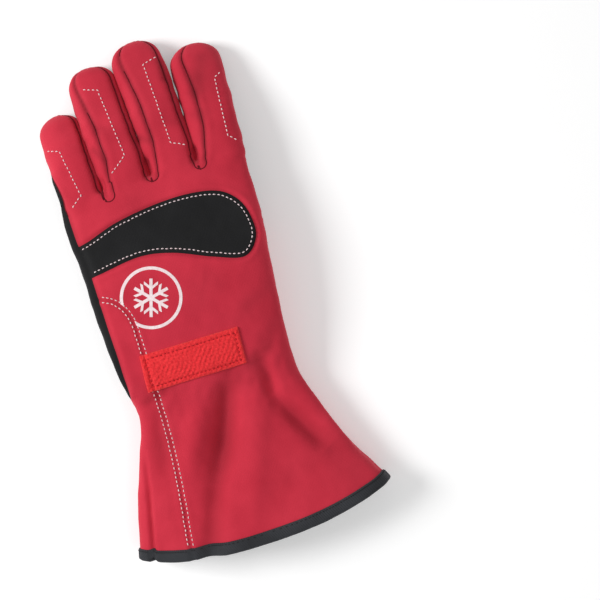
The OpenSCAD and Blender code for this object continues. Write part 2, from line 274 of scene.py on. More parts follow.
def tube(sections, sides=56):
    """A closed tube: a section is its centre, side vector, half width, height over and under, sharpness."""
    angle = np.arange(sides) * 2 * math.pi / sides
    rings = []
    for centre, side, half, over, under, sharp in sections:
        c, s = np.cos(angle), np.sin(angle)
        across = np.sign(c) * np.abs(c) ** (2 / sharp) * half
        above = np.sign(s) * np.abs(s) ** (2 / sharp) * np.where(s > 0, over, under)
        rings.append(np.asarray(centre) + across[:, None] * np.asarray(side) + above[:, None] * [0, 0, 1])
    n = len(rings)
    points = np.vstack(rings + [rings[0].mean(0)[None], rings[-1].mean(0)[None]])
    faces = []
    for j in range(n - 1):
        for i in range(sides):
            k = (i + 1) % sides
            faces.append((j * sides + i, j * sides + k, (j + 1) * sides + k, (j + 1) * sides + i))
    for i in range(sides):
        k = (i + 1) % sides
        faces.append((n * sides, k, i))
        faces.append((n * sides + 1, (n - 1) * sides + i, (n - 1) * sides + k))
    return points, faces


def joined(parts):
    """Several lists of points and faces as one."""
    points, faces, start = [], [], 0
    for p, f in parts:
        points.append(p)
        faces += [tuple(i + start for i in face) for face in f]
        start += len(p)
    return np.vstack(points), faces


def remeshed(points, faces, voxel):
    """One smooth skin round overlapping tubes, as vertices and triangles."""
    mesh = bpy.data.meshes.new("raw")
    mesh.from_pydata((points * MM).tolist(), [], faces)
    obj = bpy.data.objects.new("raw", mesh)
    bpy.context.collection.objects.link(obj)
    modifier = obj.modifiers.new("voxels", "REMESH")
    modifier.mode = "VOXEL"
    modifier.voxel_size = voxel * MM
    done = obj.evaluated_get(bpy.context.evaluated_depsgraph_get()).to_mesh()
    done.calc_loop_triangles()
    co = np.empty(len(done.vertices) * 3)
    done.vertices.foreach_get("co", co)
    tri = np.empty(len(done.loop_triangles) * 3, np.int32)
    done.loop_triangles.foreach_get("vertices", tri)
    obj.evaluated_get(bpy.context.evaluated_depsgraph_get()).to_mesh_clear()
    bpy.data.objects.remove(obj)
    return co.reshape(-1, 3) / MM, tri.reshape(-1, 3).astype(np.int64)


def sides_of(tri):
    """The three sides of each triangle."""
    return np.vstack([tri[:, [0, 1]], tri[:, [1, 2]], tri[:, [2, 0]]])


def neighbours(tri):
    """Each edge of the triangles once."""
    return np.unique(np.sort(sides_of(tri), axis=1), axis=0)


def relaxed(values, edges, times):
    """Values at the vertices, averaged with their neighbours' a number of times."""
    flat = values.reshape(len(values), -1).astype(float)
    count = np.bincount(edges.ravel(), minlength=len(flat))[:, None]
    for _ in range(times):
        total = np.zeros_like(flat)
        for k in range(flat.shape[1]):
            total[:, k] = (np.bincount(edges[:, 0], flat[edges[:, 1], k], len(flat))
                           + np.bincount(edges[:, 1], flat[edges[:, 0], k], len(flat)))
        flat += 0.5 * (total / count - flat)
    return flat.reshape(values.shape)


def normals(co, tri):
    """The smooth normal at each point."""
    a, b, c = co[tri[:, 0]], co[tri[:, 1]], co[tri[:, 2]]
    face = np.cross(b - a, c - a)
    out = np.zeros_like(co)
    for k in range(3):
        for d in range(3):
            out[:, d] += np.bincount(tri[:, k], face[:, d], len(co))
    return unit(out)


def rounded_stops(start, length, round_end, along, over):
    """Distances for the sections of a tube with a round end."""
    return np.concatenate([np.linspace(start, length - round_end, along),
                           length - round_end * (1 - np.sin(np.linspace(0.12, 1.45, over)))])


def hand_sections():
    """The sections of the gauntlet's and the hand's tube."""
    for y in np.arange(-60, HAND_END + 0.1, 4.0):
        left, right, low, high = HAND(y)
        middle = (low + high) / 2
        centre = ((left + right) / 2, y, middle)
        yield centre, (1, 0, 0), (right - left) / 2, high - middle, middle - low, HAND_SHARP


def finger_sections(f, start=-32.0, inset=0.0):
    """The sections of a finger's tube, which begins inside the hand."""
    round_end = f.raw_half * 0.95
    for v in rounded_stops(start, f.length, round_end, 18, 10):
        q = max(0.0, 1 - (f.length - v) / round_end)
        tip = math.sqrt(1 - q * q)
        hidden = 1 - 0.25 * float(step(-v, 2, 20))
        high = FINGER_HIGH - inset
        yield (f.centre(v), f.side, (f.raw_half - inset) * tip * hidden, high * tip**0.7 * hidden,
               high * tip**0.8 * hidden, FINGER_SHARP)


THUMB_YAW = math.atan2(THUMB_AT[0] - THUMB_JOINT[0], THUMB_JOINT[1] - THUMB_AT[1])
THUMB_DIR = np.array([-math.sin(THUMB_YAW), math.cos(THUMB_YAW), 0])
THUMB_SIDE = np.array([math.cos(THUMB_YAW), math.sin(THUMB_YAW), 0])
THUMB_LOWER = np.linalg.norm((THUMB_JOINT - THUMB_AT)[:2])
# Its length from its root, half its thickness, and how long its round end is
THUMB_LENGTH, THUMB_HIGH, THUMB_ROUND = 85.0, 6.5, 17.0
# Distance along the thumb, half width to its left and right, and middle height
THUMB = smooth_curve([(-50, 18, -4, 17.5), (-34, 21, 4, 13.2), (-18, 22, 10, 9.4), (0, 21.5, 16, 7.6),
                      (22, 20, 21, 7.3), (44, 18.6, 20, 7.3), (62, 17.5, 17.5, 7.3), (85, 15, 15, 7.3)])


def thumb_sections(inset=0.0):
    """The sections of the thumb's tube, which begins inside the hand."""
    for v in rounded_stops(-50, THUMB_LENGTH, THUMB_ROUND, 22, 9):
        left, right, z = THUMB(v)
        q = max(0.0, 1 - (THUMB_LENGTH - v) / THUMB_ROUND)
        tip = math.sqrt(1 - q * q)
        centre = THUMB_AT * [1, 1, 0] + THUMB_DIR * v + THUMB_SIDE * (right - left) / 2 + [0, 0, z]
        high = (THUMB_HIGH - inset) * tip**0.6
        yield centre, THUMB_SIDE, ((left + right) / 2 - inset) * tip, high, high, THUMB_SHARP


# ---------------------------------------------------------------- seams and outlines, seen from above

INSERT = rounded_path([
    (-80, 152), (-51, 152.5), (-25, 159.5), (8, 163), (34, 160), (47, 151), (52, 138), (51, 125), (41, 116),
    (23, 121.5), (1, 131), (-20, 135), (-50, 132), (-80, 131)], closed=True)
GORE = rounded_path([(-62, 122), (-52, 119), (-41, 113), (-35, 101), (-34.8, 81), (-36, 53), (-38.3, 8),
                     (-44.6, -42), (-47, -66)])
PALM_EDGE = rounded_path([(-80, 50), (-49, 49.5), (18, 48), (20, 80), (27, 115), (40, 132), (58, 137),
                          (80, 138)])
PATCH = np.array([(-40.3, 56), (22, 55), (23.6, 77.4), (-38, 78.6)])
BADGE, BADGE_R, BADGE_LINE = np.array([-20, 109.6]), 17.8, 0.95
OVERLAY = rounded_path([
    (-52, 176), (-45, 174), (-39, 166), (-31, 162.5), (-27.5, 169), (-23, 176.5), (-17, 177.5), (-13, 172),
    (-10, 150), (-2, 125), (0, 109), (-1, 94), (-6, 77), (-18, 69.5), (-36, 70.5), (-48, 80), (-52, 97),
    (-51.5, 121), (-46, 137), (-47, 143), (-51.5, 150)], closed=True)
LOBE = rounded_path([
    (2, 174), (6, 177.5), (12, 177), (15, 170), (23, 164), (30, 169), (34, 176.5), (44, 176.5), (46.5, 166),
    (46.5, 146), (44, 138.5), (36, 138), (20, 150)], closed=True)
QUILT = [[(-51, 156), (-23, 156)], [(-50, 156), (-21, 149)], [(-50, 115), (-11.5, 126)],
         [(-49, 115), (-2.5, 101)], [(-48, 86), (-2, 99)], [(14, 156), (45, 160)], [(22, 149), (45, 146)]]
# Broad folds of the back: from, to, width, height; the height also sets painted shade in the valleys and
# painted light on the ridges
FOLDS = [((9, 50), (-19, -12), 7, -7.5), ((-16, -2), (-36, -52), 7, -4.6), ((-12, 42), (-36, -6), 7, 3.6),
         ((24, 44), (-4, -40), 10, 3.6), ((31, 56), (32, 28), 4.5, -4.2), ((31, 32), (54, -10), 6, -4.8),
         ((43, 40), (70, -14), 6, 2.4), ((-37, 54), (-47, 2), 5.5, -3.0),
         ((-54, 22), (-73.5, -62), 1.5, -2.6), ((-49, 48), (-60, 0), 4, 1.2),
         ((-52, -16), (-30, -24), 4, -1.4), ((-50, 48), (-26, 52), 3.5, -1.5),
         ((44, 60), (20, 50), 4, -1.5), ((48, 92), (30, 84), 5, -1.1), ((12, 112), (44, 98), 9, -1.2),
         ((-46, 92), (-34, 70), 4, -0.9), ((50, 76), (36, 56), 5, -1.3), ((43, 246), (44, 226), 4.5, -1.5),
         ((-20, 226), (-18, 214), 4, -0.7), ((12, 214), (14, 200), 4, -0.7),
         ((-48, 206), (-46, 192), 4, -0.6)]
# How far in from its left silhouette the back of the hand ends
LEFT_INSET = smooth_curve([(-70, -2.5), (30, -2.0), (52, -0.5), (66, 2.6), (84, 4.4), (150, 4.8),
                           (172, 3.6), (183, 2.4), (190, 1.8)])
# Creases of the fingers' backs, each a small dent with painted shade along it: from, to, width, depth (which
# also sets how dark the shade is)
CREASES_AND_PAINTED_SHADE = [((52, 240), (44, 221), 5, 1.0), ((28.4, 245), (27.8, 235), 2.6, 0.9),
           ((21, 209), (26, 207), 4, 0.5), ((-19, 216), (-14, 214), 5, 0.5),
           ((-26.5, 206), (-22, 198), 2.0, 0.9), ((2, 204), (7, 201), 2.4, 0.8),
           ((38, 208), (44, 206), 4, 0.5)]
# Where the fingers' pieces begin, and the share of a finger's lower part at which its two lengths meet
SPLIT_Y = FINGERS[0].root[1] - 7.5
LAP_SHARE = 0.585
# How far inside the insert the gore's seam has faded out
STRAY = 9.0


def edge_angle(inset, half, sharp=HAND_SHARP):
    """Angle round a section at which it comes inset in from its silhouette, over or under it."""
    reach = np.clip(1 - np.abs(inset) / half, 0, 1)
    height = (1 - reach**sharp) ** (1 / sharp)
    return np.where(inset >= 0, np.arctan2(height, reach), -np.arctan2(height, reach))


def widen(co, which):
    """Fills the fingers out sideways, so that neighbours touch."""
    out = co.copy()
    for k, f in enumerate(FINGERS):
        mine = (which == k) & (co[:, 1] > 175)
        u, v, _ = f.local(co[mine])
        onward = step(v, -7, 0)
        wide = np.abs(u)
        half = f.half + np.where(u < 0, lean(k, -1, co[mine, 1]), lean(k, 1, co[mine, 1]))
        filled = np.where(wide > f.raw_half, np.maximum(wide, half), wide * half / f.raw_half)
        out[mine] += (np.sign(u) * (filled - wide) * onward)[:, None] * f.side
    return out


def nearest_finger(co):
    """Index in FINGERS of the finger that each point belongs to."""
    gaps = np.stack([np.abs((co[:, :2] - f.root[:2]) @ f.side[:2]) / f.raw_half for f in FINGERS])
    return gaps.argmin(0)


# ---------------------------------------------------------------- the skin of the hand

# What is known at each point of the skin: its place and normal, its painted shade, its distance to each seam
# (positive on the inner side), and its place across, along and above its finger
NAMES = ["x", "y", "z", "nx", "ny", "nz", "shade", "hem", "insert", "gore", "palm_edge", "split", "lap",
         "around_left", "around_right", "finger_left", "finger_right", "finger_low", "u", "v", "w", "finger"]
COL = {name: i for i, name in enumerate(NAMES)}


def build_skin():
    """The skin before seams and folds: its points, triangles, edges and each point's finger."""
    parts = [tube(list(hand_sections()), 96)] + [tube(list(finger_sections(f))) for f in FINGERS]
    co, tri = remeshed(*joined(parts), VOXEL)
    edges = neighbours(tri)
    co = relaxed(co, edges, 5)
    which = nearest_finger(co)
    rest = relaxed(widen(co, which), edges, 2)
    # The cloth at the bottom of each slot is drawn smooth
    smooth = relaxed(rest, edges, 16)
    near = np.zeros(len(rest))
    for wx, wy in WEBS:
        near = np.maximum(near, step(9 - np.hypot(rest[:, 0] - wx, (rest[:, 1] - wy - 7) * 0.75), 0, 5))
    return rest + (smooth - rest) * near[:, None], tri, edges, which


def web_gap(x, y, web):
    """Distance outside the U-shaped seam of a web."""
    wx, wy = web
    return np.hypot(x - wx - WEB_SHIFT, np.maximum(wy + WEB_R - y, 0)) - WEB_R


def joined_seam(on_finger, web, v, w):
    """A finger's side seam, which runs into the web's U at its root."""
    onward = step(v, -3.5, 2.5)
    web = np.minimum(web, 2 * (w + 1))
    return web * (1 - onward) + np.minimum(on_finger, web + 40 * step(v, 4, 12)) * onward


def around(angle, above):
    """Angles from the left and from the right silhouette, negative on the underside."""
    sign = np.where(above >= 0, 1, -1)
    return sign * (math.pi - np.abs(angle)), sign * np.abs(angle)


def fields(co, which):
    """The seam distances and finger coordinates of each vertex."""
    n = len(co)
    f = {name: np.zeros(n) for name in NAMES}
    x, y, z = co.T
    left, right, low, high = HAND(y).T
    middle, half = (low + high) / 2, (right - left) / 2
    u, w = x - (left + right) / 2, z - middle
    angle = np.arctan2(w / (high - middle), u / half)
    f["hem"] = y - hem(x) - HEM_TUCK
    f["insert"] = np.where(w > -2, inside_distance(co[:, :2], INSERT), -20)
    gore_gap, _ = line_distance(co[:, :2], GORE)
    gore_x = np.interp(y, GORE[::-1, 1], GORE[::-1, 0])
    f["gore"] = np.where(x < gore_x, gore_gap, -gore_gap)
    palm_outline = np.vstack([PALM_EDGE, [(80, 400), (-80, 400)]])
    f["palm_edge"] = inside_distance(co[:, :2], palm_outline)
    from_left, from_right = around(angle, w)
    reach = (high - middle) * 1.1
    f["around_left"] = (from_left - edge_angle(LEFT_INSET(y)[:, 0], half)) * reach
    f["around_right"] = (from_right - edge_angle(np.full(n, -1.5), half)) * reach
    f["u"], f["v"], f["w"] = u, y - FINGERS[0].root[1], w
    f["finger"] = which.astype(float)
    for k, g in enumerate(FINGERS):
        mine = (which == k) & (y > 160)
        if not mine.any():
            continue
        gu, gv, gw = g.local(co[mine])
        side_left, side_right = around(np.arctan2(gw / FINGER_HIGH, gu / g.half), gw)
        scale = FINGER_HIGH * 1.1
        outer_left, outer_right = g.name == "pinky", g.name == "index"
        narrower = 3.0 * step(gv / g.length, 0.5, 0.95)
        strip = (6.3 if outer_right else 4.9) + 3.3 * step(gv, 0, 22) - narrower
        inset_left = np.where(outer_left, 2.6 - 4.1 * step(gv, -2, 36), strip)
        inset_right = np.full(len(gv), -1.5 if outer_right else 2.0)
        at_left = (side_left - edge_angle(inset_left, g.half, FINGER_SHARP)) * scale
        at_right = (side_right - edge_angle(inset_right, g.half, FINGER_SHARP)) * scale
        # At the root the seams run into the U of each web, and the outer ones into the hand's side seams
        onward = step(y[mine], SPLIT_Y, SPLIT_Y + 14)
        webs = [web_gap(x[mine], y[mine], web) for web in WEBS]
        for side, at, outer, web in (("left", at_left, outer_left, 2 - k),
                                     ("right", at_right, outer_right, 3 - k)):
            if outer:
                seam_gap = f["around_" + side][mine] * (1 - onward) + at * onward
            else:
                seam_gap = joined_seam(at, webs[web], gv, gw)
            f["finger_" + side][mine] = seam_gap
        f["finger_low"][mine] = gw + 3.4
        f["u"][mine], f["v"][mine], f["w"][mine] = gu, gv, gw
    f["split"] = y - SPLIT_Y
    f["lap"] = f["v"] - np.array([g.lower for g in FINGERS])[which] * LAP_SHARE
    return f


def seam(gap, depth, width=1.1, puff=0.35):
    """Height of a sewn seam at a distance from its line: a groove between two soft rims."""
    return -depth * bump(gap, width) + puff * bump(np.abs(gap) - 2.6, 1.6)


def displaced(co, tri, edges, f):
    """The skin with its folds, seams, gathers and creases pressed in; it sets each point's painted shade."""
    x, y, z = co.T
    flat = co[:, :2]
    n = normals(co, tri)
    up = step(n[:, 2], -0.1, 0.5)
    down = step(-n[:, 2], -0.1, 0.5)
    on_hand = 1 - step(y, SPLIT_Y, SPLIT_Y + 6)
    height = np.zeros(len(co))
    shade = np.zeros(len(co))
    for a, b, width, rise in FOLDS:
        gap, along = line_distance(flat, np.array([a, b], float))
        length = math.dist(a, b)
        fade = np.sin(np.pi * np.clip(along / length, 0.03, 0.97)) ** 0.7
        fade = np.where(y < -25, np.maximum(fade, 0.8 * (b[1] < -50)), fade)
        height += rise * bump(gap, width) * fade * up
        # Painted shade along each fold's valley, and painted light along its ridge
        shade -= 0.085 * rise * bump(gap, width * 0.9) * fade * up
    # The underside of the cuff, gathered on the elastic at the wrist
    wrist = wrist_line(x)
    gathers = np.sin(x * 2 * math.pi / 7.5 + 1.4 * np.sin(x / 9) + 0.5 * np.sin(y / 7))
    spread = bump(y - wrist, 11)
    height += down * (1.1 * gathers * spread - 1.2 * bump(y - wrist, 3.0)) * on_hand
    # Painted shade in the gathers' valleys, and painted light on their crests
    shade -= 0.35 * down * gathers * spread * on_hand
    height += down * 1.6 * np.sin(x / 11 + 0.8) * step(-y, -20, 30) * step(z, 0, 3)
    # Seams of the hand
    folded = height.copy()
    gore_on = up * step(119 - y, -3, 3)
    height += seam(f["gore"], 0.75, 1.0, 0.3) * gore_on * step(STRAY - f["insert"], 0, 6)
    height += seam(f["insert"], 0.9, 1.0, 0.45) * up * step(f["around_left"], -1, 3)
    height += seam(f["around_left"], 0.7) * on_hand * step(np.abs(x + 55), 12, 6)
    height += seam(f["around_right"], 0.6) * on_hand * (x > 20)
    height += seam(f["palm_edge"], 0.7) * down
    # Fingers: the two seams of each fourchette, and its lower edge
    on_finger = step(y, SPLIT_Y + 1, SPLIT_Y + 8)
    left_gap, right_gap = f["finger_left"], f["finger_right"]
    height += seam(left_gap, 0.85, 0.9, 0.3) * on_finger * (f["u"] < 0)
    height += seam(right_gap, 0.7, 0.9, 0.25) * on_finger * (f["u"] > 0)
    height += seam(f["finger_low"], 0.6, 0.9, 0.2) * on_finger
    # Painted shade in the seams' grooves, as deep as they are pressed in
    shade += np.clip(folded - height, 0, 1.6) * 0.6
    # A small dent along each crease, with painted shade along it
    for a, b, width, depth in CREASES_AND_PAINTED_SHADE:
        gap, _ = line_distance(flat, np.array([a, b], float))
        height -= 0.7 * depth * bump(gap, width) * up
        shade += 0.45 * depth * bump(gap, width) * up
    # The webs: the back dips where two fingers part, and painted shade runs along the bottom of the dip
    for wx, wy in WEBS:
        gap, _ = line_distance(flat, np.array([(wx, wy + 1), (wx, wy + 14)]))
        height -= (0.7 * bump(gap, 3.2) + 0.8 * bump(gap, 1.2)) * up * step(y, wy + 1, wy + 7)
        shade += 0.45 * bump(gap, 0.8) * up * step(y, wy + 2, wy + 4)
    # Painted shade along the fingers' side seams, and near the edges where neighbouring fingers touch
    between = np.where(f["u"] < 0, f["finger"] < 3, f["finger"] > 0)
    beside = bump(left_gap, 0.9) * (f["u"] < 0) + bump(right_gap, 0.9) * (f["u"] > 0)
    shade += 0.5 * beside * on_finger * up
    halves = np.array([g.half for g in FINGERS])[f["finger"].astype(int)]
    near_edge = step(np.abs(f["u"]) / halves, 0.88, 1.0) * between
    shade += 0.40 * near_edge * step(f["v"], 4, 12) * step(70 - f["v"], 0, 24)
    # Soft unevenness and creases
    height += 0.38 * ripples(co, 46) * (0.5 + 0.5 * up) * (1 - 0.4 * on_finger)
    height += 0.16 * ripples(co, 17)
    height += 0.10 * ripples(co * [1, 0.4, 1], 7) * (bump(y - 40, 22) + 0.35)
    height += 0.22 * ripples(co, 13) * on_finger
    for k, g in enumerate(FINGERS):
        mine = (f["finger"] == k) & (y > SPLIT_Y)
        for at, rise in ((g.lower - 4, -0.4), (g.lower + 3, -0.45), (g.lower + 10, -0.25)):
            height[mine] += (rise * bump(f["v"] - at + 0.12 * f["u"], 2.2) * up)[mine]
        for at, rise, width in ((g.lower - 1, -0.7, 3.2), (g.lower + 4.5, 0.35, 3), (4, -0.35, 3)):
            height[mine] += (rise * bump(f["v"] - at + 0.10 * f["u"], width) * down)[mine]
    shade += 0.10 * ripples(co, 30)
    f["shade"] = np.clip(relaxed(shade, edges, 1), -0.4, 1)
    height = relaxed(height, edges, 1)
    moved = co + n * height[:, None]
    moved[:, 2] += np.maximum(0, LOWEST - moved[:, 2])
    return moved


def cut(rows, tri, column):
    """Splits the triangles along the line on which a column is zero."""
    f = rows[:, column]
    state = (f >= 0)[tri]
    count = state.sum(1)
    mixed = (count == 1) | (count == 2)
    t, s, c = tri[mixed], state[mixed], count[mixed]
    if not len(t):
        return rows, tri
    lone = np.where(c == 1, s.argmax(1), (~s).argmax(1))
    t = t[np.arange(len(t))[:, None], (lone[:, None] + np.arange(3)) % 3]
    a, b, d = t.T
    ends = np.sort(np.vstack([np.column_stack([a, b]), np.column_stack([a, d])]), axis=1)
    ends, inverse = np.unique(ends, axis=0, return_inverse=True)
    inverse = inverse.reshape(-1)
    low, high = f[ends[:, 0]], f[ends[:, 1]]
    share = np.clip(low / (low - high), 0.02, 0.98)[:, None]
    new = rows[ends[:, 0]] * (1 - share) + rows[ends[:, 1]] * share
    new[:, column] = 0
    p, q = len(rows) + inverse[:len(t)], len(rows) + inverse[len(t):]
    tri = np.vstack([tri[~mixed], np.column_stack([a, p, q]), np.column_stack([p, b, d]),
                     np.column_stack([p, d, q])])
    return np.vstack([rows, new]), tri


def refined(rows, tri):
    """Each triangle split into four."""
    edges = np.sort(sides_of(tri), axis=1)
    ends, inverse = np.unique(edges, axis=0, return_inverse=True)
    inverse = inverse.reshape(-1) + len(rows)
    n = len(tri)
    ab, bc, ca = inverse[:n], inverse[n:2 * n], inverse[2 * n:]
    a, b, c = tri.T
    rows = np.vstack([rows, (rows[ends[:, 0]] + rows[ends[:, 1]]) / 2])
    corners = ((a, ab, ca), (ab, b, bc), (ca, bc, c), (ab, bc, ca))
    return rows, np.vstack([np.column_stack(corner) for corner in corners])


def compact(rows, tri):
    """The points that the triangles use, and the triangles over them."""
    used, inverse = np.unique(tri, return_inverse=True)
    return rows[used], inverse.reshape(-1, 3)


# ---------------------------------------------------------------- making pieces

def add_piece(name, co, tri, normal=None, **layers):
    """A mesh object in metres from points in millimetres, with a named number at each point."""
    mesh = bpy.data.meshes.new(name)
    mesh.vertices.add(len(co))
    mesh.vertices.foreach_set("co", (np.asarray(co, np.float32) * MM).ravel())
    mesh.loops.add(len(tri) * 3)
    mesh.loops.foreach_set("vertex_index", np.asarray(tri, np.int32).ravel())
    mesh.polygons.add(len(tri))
    mesh.polygons.foreach_set("loop_start", np.arange(0, len(tri) * 3, 3, dtype=np.int32))
    mesh.update(calc_edges=True)
    mesh.validate()
    mesh.polygons.foreach_set("use_smooth", np.ones(len(mesh.polygons), bool))
    for layer_name, values in layers.items():
        layer = mesh.attributes.new(layer_name, "FLOAT", "POINT")
        layer.data.foreach_set("value", np.asarray(values, np.float32))
    if normal is not None and len(mesh.vertices) == len(normal):
        mesh.normals_split_custom_set_from_vertices(normal.tolist())
    obj = bpy.data.objects.new(name, mesh)
    bpy.context.collection.objects.link(obj)
    return obj


def on_bodies(obj, key):
    """Bakes the transform of a wrist, finger or thumb piece; a piece with any other key rides on that body's
    empty.
    """
    if key == "wrist":
        pivot = place("wrist_bend")[2] * MM
        y = place("wrist_bend")[1] * MM
        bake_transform(obj)
    elif key.startswith("root:"):
        f = next(g for g in FINGERS if g.name == key[5:])
        (f.root + f.heading(0) * -1) * MM
        (f.root + f.heading(0) * f.lower * 0.55) * MM
        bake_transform(obj)
    elif key.startswith("tip:"):
        f = next(g for g in FINGERS if g.name == key[4:])
        reach = f.lower * 0.38
        (f.joint - f.heading(0) * reach) * MM
        (f.joint + f.heading(0) * reach) * MM
        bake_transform(obj)
    elif key == "thumb_root":
        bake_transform(obj)
    elif key == "thumb_tip":
        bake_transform(obj)
    else:
        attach(obj, key)
    return obj


def finished(obj, look, key, slot, *nodes):
    """Gives a piece its material, passes it to on_bodies and hides the CAD pieces it stands for; slot is not
    used.
    """
    obj.data.materials.append(look)
    on_bodies(obj, key)
    if nodes:
        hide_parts(*nodes)
    return obj


def plate(rows, tri, rise, sink=0.4):
    """A closed sheet standing rise above the skin, from cut skin triangles."""
    rows, tri = compact(rows, tri)
    co, n = rows[:, :3], rows[:, 3:6]
    n = n / np.linalg.norm(n, axis=1, keepdims=True)
    top, under = co + n * rise(rows)[:, None], co - n * sink
    edges = sides_of(tri)
    _, first, counts = np.unique(np.sort(edges, axis=1), axis=0, return_index=True, return_counts=True)
    a, b = edges[first[counts == 1]].T
    m = len(rows)
    rim = np.vstack([np.column_stack([b, a, a + m]), np.column_stack([b, a + m, b + m])])
    return np.vstack([top, under]), np.vstack([tri, tri[:, ::-1] + m, rim])


def patch_of(rows, tri, field, times=1, margin=2.0):
    """The part of the skin on which a field is positive, cut exactly and finer than the skin."""
    value = field(rows)
    near = (value[tri] > -margin).any(1)
    rows, tri = compact(rows, tri[near])
    for _ in range(times):
        rows, tri = refined(rows, tri)
    rows = np.column_stack([rows, field(rows)])
    rows, tri = cut(rows, tri, rows.shape[1] - 1)
    keep = rows[tri, -1].mean(1) > 0
    return compact(rows, tri[keep])


def edge_round(d, radius):
    """Height of a rounded edge, from 0 at the rim to 1 at radius inside it."""
    q = 1 - np.clip(d / radius, 0, 1)
    return np.sqrt(1 - q * q)


# ---------------------------------------------------------------- threads

class Cloth:
    """The finished skin, for laying things on it."""

    def __init__(self, co, tri, normal):
        self.tree = BVHTree.FromPolygons(co.tolist(), tri.tolist())
        self.tri, self.normal = tri, normal

    def found(self, hit, face):
        n = self.normal[self.tri[face]].mean(0)
        return np.array(hit), n / np.linalg.norm(n)

    def drop(self, x, y, down=True):
        """Point and normal where a line through (x, y) meets the skin, from above or below."""
        start, way = ((x, y, 200), (0, 0, -1)) if down else ((x, y, -200), (0, 0, 1))
        hit, _, face, _ = self.tree.ray_cast(start, way)
        if hit is None:
            hit, _, face, _ = self.tree.find_nearest((x, y, 30 if down else 10))
        return self.found(hit, face)

    def shot(self, start, way):
        """Point and normal where a line from start meets the skin, or None twice."""
        hit, _, face, _ = self.tree.ray_cast(Vector(start), Vector(way))
        return (None, None) if hit is None else self.found(hit, face)


def even_points(path, pitch, closed=False):
    """Points and directions pitch apart along a path."""
    if closed:
        path = np.vstack([path, path[:1]])
    legs = np.linalg.norm(np.diff(path, axis=0), axis=1)
    travelled = np.concatenate([[0], np.cumsum(legs)])

    def point_at(distance):
        return np.column_stack([np.interp(distance, travelled, column) for column in path.T])

    at = np.arange(pitch / 2, travelled[-1], pitch)
    return point_at(at), unit(point_at(at + 0.5) - point_at(at - 0.5))


def tube_faces(sides, rings):
    """Triangles of a closed tube of so many rings."""
    faces = []
    for j in range(rings - 1):
        for i in range(sides):
            k = (i + 1) % sides
            a, b, c, d = j * sides + i, j * sides + k, (j + 1) * sides + k, (j + 1) * sides + i
            faces += [(a, c, b), (a, d, c)]
    last = (rings - 1) * sides
    for i in range(1, sides - 1):
        faces += [(0, i, i + 1), (last, last + i + 1, last + i)]
    return np.array(faces)


def thread(centres, ways, ups, length, radius, arch=0.35):
    """Short stitches: each is a little arched tube with rounded ends."""
    swell = radius * np.array([0.25, 0.8, 1, 1, 1, 0.8, 0.25])[:, None, None]
    sides, rings = 6, len(swell)
    t = np.linspace(-1, 1, rings)[:, None, None]
    lift = arch * (1 - t**2 * 1.7)
    angle = (np.arange(sides) * 2 * math.pi / sides)[None, :, None]
    one = tube_faces(sides, rings)
    points, faces = [], []
    for m, (centre, way, up) in enumerate(zip(centres, ways, ups)):
        way = way - up * (way @ up)
        way /= np.linalg.norm(way)
        side = np.cross(way, up)
        ring = (centre + way * (t * length / 2) + up * lift
                + swell * (np.cos(angle) * side + np.sin(angle) * up))
        points.append(ring.reshape(-1, 3))
        faces.append(one + m * rings * sides)
    return np.vstack(points), np.vstack(faces)


def sewn(cloth, path, pitch=2.7, share=0.68, radius=0.33, closed=False, down=True, where=None, raise_by=0.0):
    """Stitches along a path seen from above or below, laid on the skin."""
    points, ways = even_points(np.array(path, float), pitch, closed)
    centres, directions, ups = [], [], []
    for (x, y), (dx, dy) in zip(points, ways):
        if where is not None and not where(x, y):
            continue
        turn = random.normal(0, 0.05)
        hit, n = cloth.drop(x + random.normal(0, 0.06), y + random.normal(0, 0.06), down)
        centres.append(hit + n * raise_by)
        directions.append(np.array([dx - dy * turn, dy + dx * turn, 0]))
        ups.append(n)
    if not centres:
        return None
    return thread(centres, directions, ups, pitch * share, radius)


def offset_path(path, by, closed=False):
    """A path moved sideways, to its left."""
    path = np.array(path, float)
    if closed:
        way = np.roll(path, -1, axis=0) - np.roll(path, 1, axis=0)
    else:
        way = np.gradient(path, axis=0)
    way = unit(way)
    return path + np.column_stack([-way[:, 1], way[:, 0]]) * by


# ---------------------------------------------------------------- materials

def colour(r, g, b):
    """Linear colour of an 8-bit one."""
    return tuple((c / 255 / 12.92 if c / 255 <= 0.04045 else ((c / 255 + 0.055) / 1.055) ** 2.4)
                 for c in (r, g, b)) + (1,)


